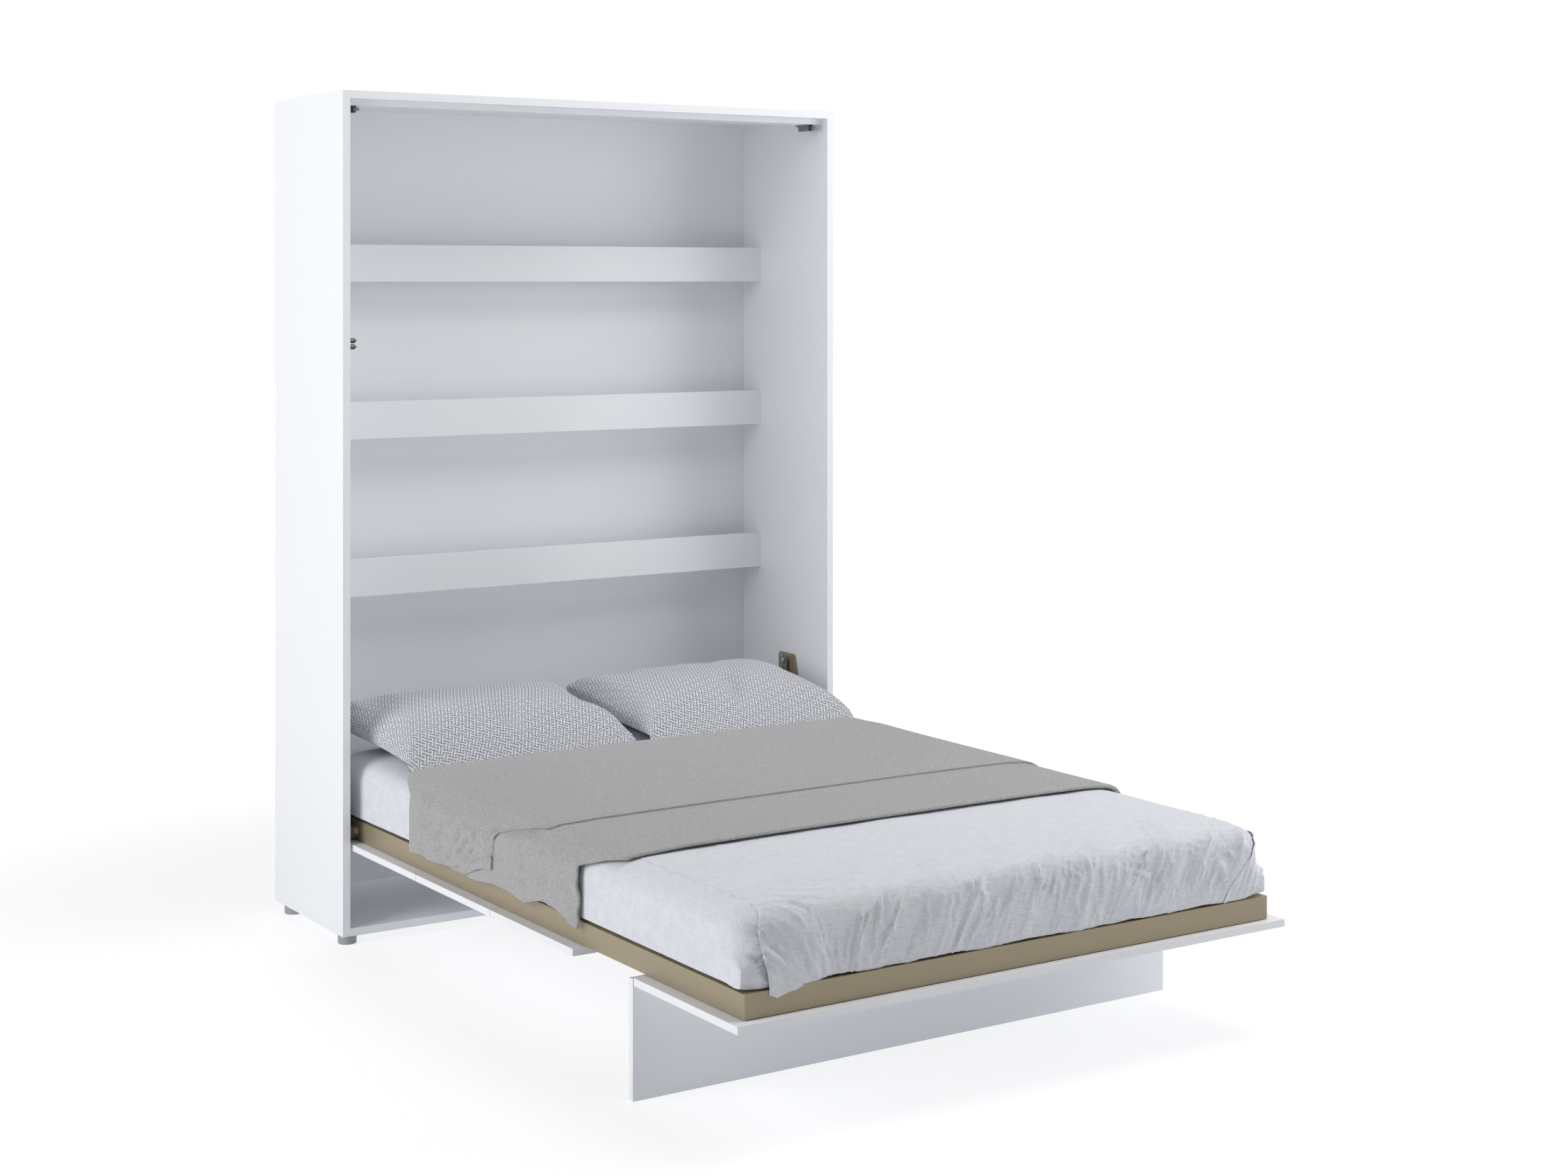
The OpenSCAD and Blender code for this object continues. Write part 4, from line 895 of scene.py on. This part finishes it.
def keep_clear(pillow):
    """Flattens what the bed's fold would carry against the cabinet: above front_top, which
    rises to back_top further back, and above the circle of fold_reach about the bed's pivot.

    What stands over these limits less the knee, o, becomes k tanh(o/k) with the knee k."""
    points = np.empty(len(pillow.data.vertices) * 3)
    pillow.data.vertices.foreach_get("co", points)
    points = points.reshape(-1, 3)
    front = front_top + (back_top - front_top) * smooth_step(points[:, 1], rise_start, rise_end)
    circle = fold_z + np.sqrt(fold_reach**2 - (points[:, 1] - fold_y) ** 2)
    over = points[:, 2] - np.minimum(front, circle) + knee
    points[:, 2] -= np.where(over > 0, over - knee * np.tanh(over / knee), 0)
    pillow.data.vertices.foreach_set("co", points.ravel())
    pillow.data.update()


def make_pillow(name, mid_x, seed):
    """A pillow whose two halves share their seam, with its print laid out by the cloth's
    own lengths. Its cover has small creases, most at the seam, and soft waves on its crown."""
    count_u, count_v = 96, 70
    s, t = np.meshgrid(np.linspace(-1, 1, count_u + 1), np.linspace(-1, 1, count_v + 1), indexing="ij")
    upper, lower = pillow_halves(mid_x, np.sin(s * math.pi / 2), np.sin(t * math.pi / 2))
    dome = np.cos(s * math.pi / 2) * np.cos(t * math.pi / 2)
    rim = 1 - np.clip(dome * 3, 0, 1)
    lift = 0.0030 * creases(upper, (0.05, 0.30, 1.0), seed, 0.5) * (0.3 + rim)
    lift += 0.0030 * waves(upper, (0.14, 0.20, 0.5), seed + 1) * np.clip(dome * 4, 0, 1)
    upper = upper + np.stack([0 * lift, 0 * lift, lift * np.clip(dome * 8, 0, 1)], axis=-1)
    quads = open_faces(count_u + 1, count_v + 1)
    points, faces, uvs = [], [], []
    for half_number, grid in enumerate([upper, lower[::-1]]):
        run_x = np.cumsum(np.linalg.norm(np.diff(grid, axis=0, prepend=grid[:1]), axis=-1), axis=0)
        run_y = np.cumsum(np.linalg.norm(np.diff(grid, axis=1, prepend=grid[:, :1]), axis=-1), axis=1)
        run_x -= run_x[count_u // 2]
        run_y -= run_y[:, count_v // 2][:, None]
        faces.append(quads + half_number * grid[..., 0].size)
        points.append(grid.reshape(-1, 3))
        uvs.append(np.stack([run_x, run_y], axis=-1).reshape(-1, 2)[quads.ravel()])
    made = mesh_piece(name, np.concatenate(points), np.concatenate(faces).tolist(), cover_finish)
    layer = made.data.uv_layers.new(name="print")
    layer.data.foreach_set("uv", (np.concatenate(uvs) / print_unit).astype(np.float32).ravel())
    seam = bmesh.new()
    seam.from_mesh(made.data)
    same_point = 0.00002
    bmesh.ops.remove_doubles(seam, verts=seam.verts, dist=same_point)
    seam.to_mesh(made.data)
    seam.free()
    plump(made)
    keep_clear(made)
    smooth = made.modifiers.new("smooth", "SUBSURF")
    smooth.levels = smooth.render_levels = 1
    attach(made, "bed")
    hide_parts(name)
    made.name = name + "_cover"


make_pillow("pillow_left", -0.355, 21)
make_pillow("pillow_right", 0.337, 31)

# Blanket

# A felted wool blanket, folded over with its hem turned under, lies across
# the bed, hangs down the left side in soft folds and laps the right edge.
ply = 0.0046
blanket_head, blanket_foot = cabinet_front - 0.312, cabinet_front - 1.312
back_reach, side_in, drawn_back = 0.086, 0.140, 0.140

# Rows run with the cloth: from the upper ply's front edge back to the fold under the
# pillows, forward to the front fold, and round it into the hem turned under. A place t is
# 0 at the blanket's head and 1 at its foot, and plies counts the cloth's height there.
upper_end, head_fold, front_fold, hem_end = 0.70, 0.012, 0.985, 0.90
bend = np.linspace(0.5, -0.5, 9)[1:-1] * math.pi
rows = [
    (evenly(upper_end, (upper_end - 0.045, 0.003), (head_fold, 0.009)), 2.5),
    (head_fold - 0.006 * np.cos(bend), 2.0 + 0.5 * np.sin(bend)),
    (evenly(head_fold, (upper_end - 0.08, 0.04), (front_fold, 0.008)), 1.5),
    (front_fold + 0.0055 * np.cos(bend), 1.0 + 0.5 * np.sin(bend)),
    (evenly(front_fold, (hem_end, 0.012)), 0.5),
]
t = np.concatenate([places for places, _ in rows])[:, None]
plies = np.concatenate([0 * places + height for places, height in rows])[:, None]
out = soft_gap + ply * plies
upper_ply = smooth_step(plies, 1.9, 2.1)

# Columns run across the bed: up the hanging part first, then round the mattress by the
# angle of its section, from 180 degrees at the left side to 10 at the right edge. Up is 0
# at the hem of the hanging part and 1 from the mattress's side on.
hang = np.linspace(0, 1, 25)[:-1]
path = np.radians(180 - np.linspace(0, 170, 4001))
run = section_run(path)
wanted = evenly(0, (0.30, 0.007), (run[-1] - 0.05, 0.010), (run[-1], 0.006))
over = np.interp(wanted, run, path)
a = np.concatenate([0 * hang + math.pi, over])[None, :]
up = np.concatenate([hang, 0 * over + 1])[None, :]
drop = 1 - up
degrees = np.degrees(a)

# On top the head edge reaches further back, at the side the foot edge stops short, and the
# upper ply's front corner is drawn back towards the head where it hangs.
on_top = np.minimum((160 - degrees) / 40, (degrees - 20) / 40)
head = blanket_head + back_reach * np.clip(on_top, 0, 1)
foot = blanket_foot + side_in * np.clip((degrees - 120) / 40, 0, 1)
drawn = drawn_back * upper_ply * smooth_step(degrees, 110, 179)
y = head + (foot - head) * t + drawn * smooth_step(t, 0.30, upper_end)

# The cloth lies on the mattress's section, made larger by its plies, and skin_normal
# is the section's own outward direction there.
width, height = half[0] + out, half[2] + out
x = width * signed_power(np.cos(a), 2 / side_power)
z = height * signed_power(np.sin(a), 2 / height_power)
skin_normal = np.stack([
    side_power * signed_power(x / width, side_power - 1) / width, 0 * x,
    height_power * signed_power(z / height, height_power - 1) / height,
], axis=-1)
skin_normal /= np.linalg.norm(skin_normal, axis=-1, keepdims=True)
z = z + crown * (1 - (x / width) ** 2)

# The hanging part goes straight down from the mattress's side to a wavy hem. The lower
# ply's hem rises in front of the upper ply, and the upper ply's towards its own front edge.
hem_height = 0.304
along = np.stack([0 * y, y, 0 * y], axis=-1)
hem = hem_height + 0.006 * waves(along, (1, 0.26, 1), 46) - 0.012 * smooth_step(t, hem_end, front_fold)
hem = hem + (1 - upper_ply) * 0.020 * np.exp(-(((t - 0.80) / 0.075) ** 2))
hem = hem + upper_ply * (0.034 * smooth_step(t, 0.30, 0.68) - 0.012 * smooth_step(t, 0.12, 0.0))
z = np.where(drop > 0, hem + (mid[2] - hem) * up, mid[2] + z)

# The folds: a soft swell on top, ridges towards the left edge, and slanting crumples down
# the hanging part. The lift is held under most_lift, and a groove marks the hem's seam.
most_lift, seam_depth, seam_half, seam_in = 0.0095, 0.0017, 0.004, 0.020
base = np.stack([0 * t + half[0] * np.cos(a) - 0.10 * drop, y, 0 * t + 0.5 * up], axis=-1)
edge = smooth_step(degrees, 60, 175)
tucked = smooth_step(t, 0.03, 0.14)
lift = 0.0010 * (waves(base, (0.40, 0.30, 1), 40) + 1.6)
lift += 0.0030 * edge * creases(base, (0.24, 0.13, 1), 43, 0.9)
lift += 0.0018 * edge * (waves(base, (0.12, 0.10, 1), 44) + 1.2).clip(0)
crumple = smooth_step(degrees, 140, 178) * (0.35 + 0.65 * upper_ply)
slanted = np.stack([0 * y, y + 0.8 * z, z - 0.5 * y], axis=-1)
lift += 0.0115 * crumple * creases(slanted, (1, 0.058, 0.12), 47, 0.55)
lift += 0.0036 * crumple * waves(slanted, (1, 0.042, 0.06), 48)
from_seam = (t - upper_end + seam_in) * (blanket_head - blanket_foot)
lift = most_lift * np.tanh(lift * tucked / most_lift).clip(0)
lift = lift - seam_depth * upper_ply * np.exp(-((from_seam / seam_half) ** 2))
cloth = np.stack([x, y, z], axis=-1) + skin_normal * lift[..., None]

wool_finish, place = new_finish("felted_wool")
tangle = place.noise(260, 4, 0.75)
hairs = place.noise(1300, 2, 0.7)
heather = (tangle * 0.55 + hairs * 0.45).step(0.36, 0.64)
surface(
    place,
    {
        "Base Color": heather.between(colour(152, 152, 154), colour(210, 209, 209)),
        "Roughness": 0.95,
        "Sheen Weight": 0.25,
        "Normal": (tangle + hairs * 0.6).relief(0.0020),
    },
)
faces = open_faces(*cloth.shape[:2]).tolist()
blanket = mesh_piece("wool_blanket", cloth.reshape(-1, 3), faces, wool_finish)
wall = blanket.modifiers.new("thickness", "SOLIDIFY")
wall.thickness, wall.offset = ply * 0.97, 0
soft_edge = blanket.modifiers.new("edge", "BEVEL")
soft_edge.width, soft_edge.segments, soft_edge.angle_limit = 0.0017, 2, math.radians(50)
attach(blanket, "bed")
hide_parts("blanket")
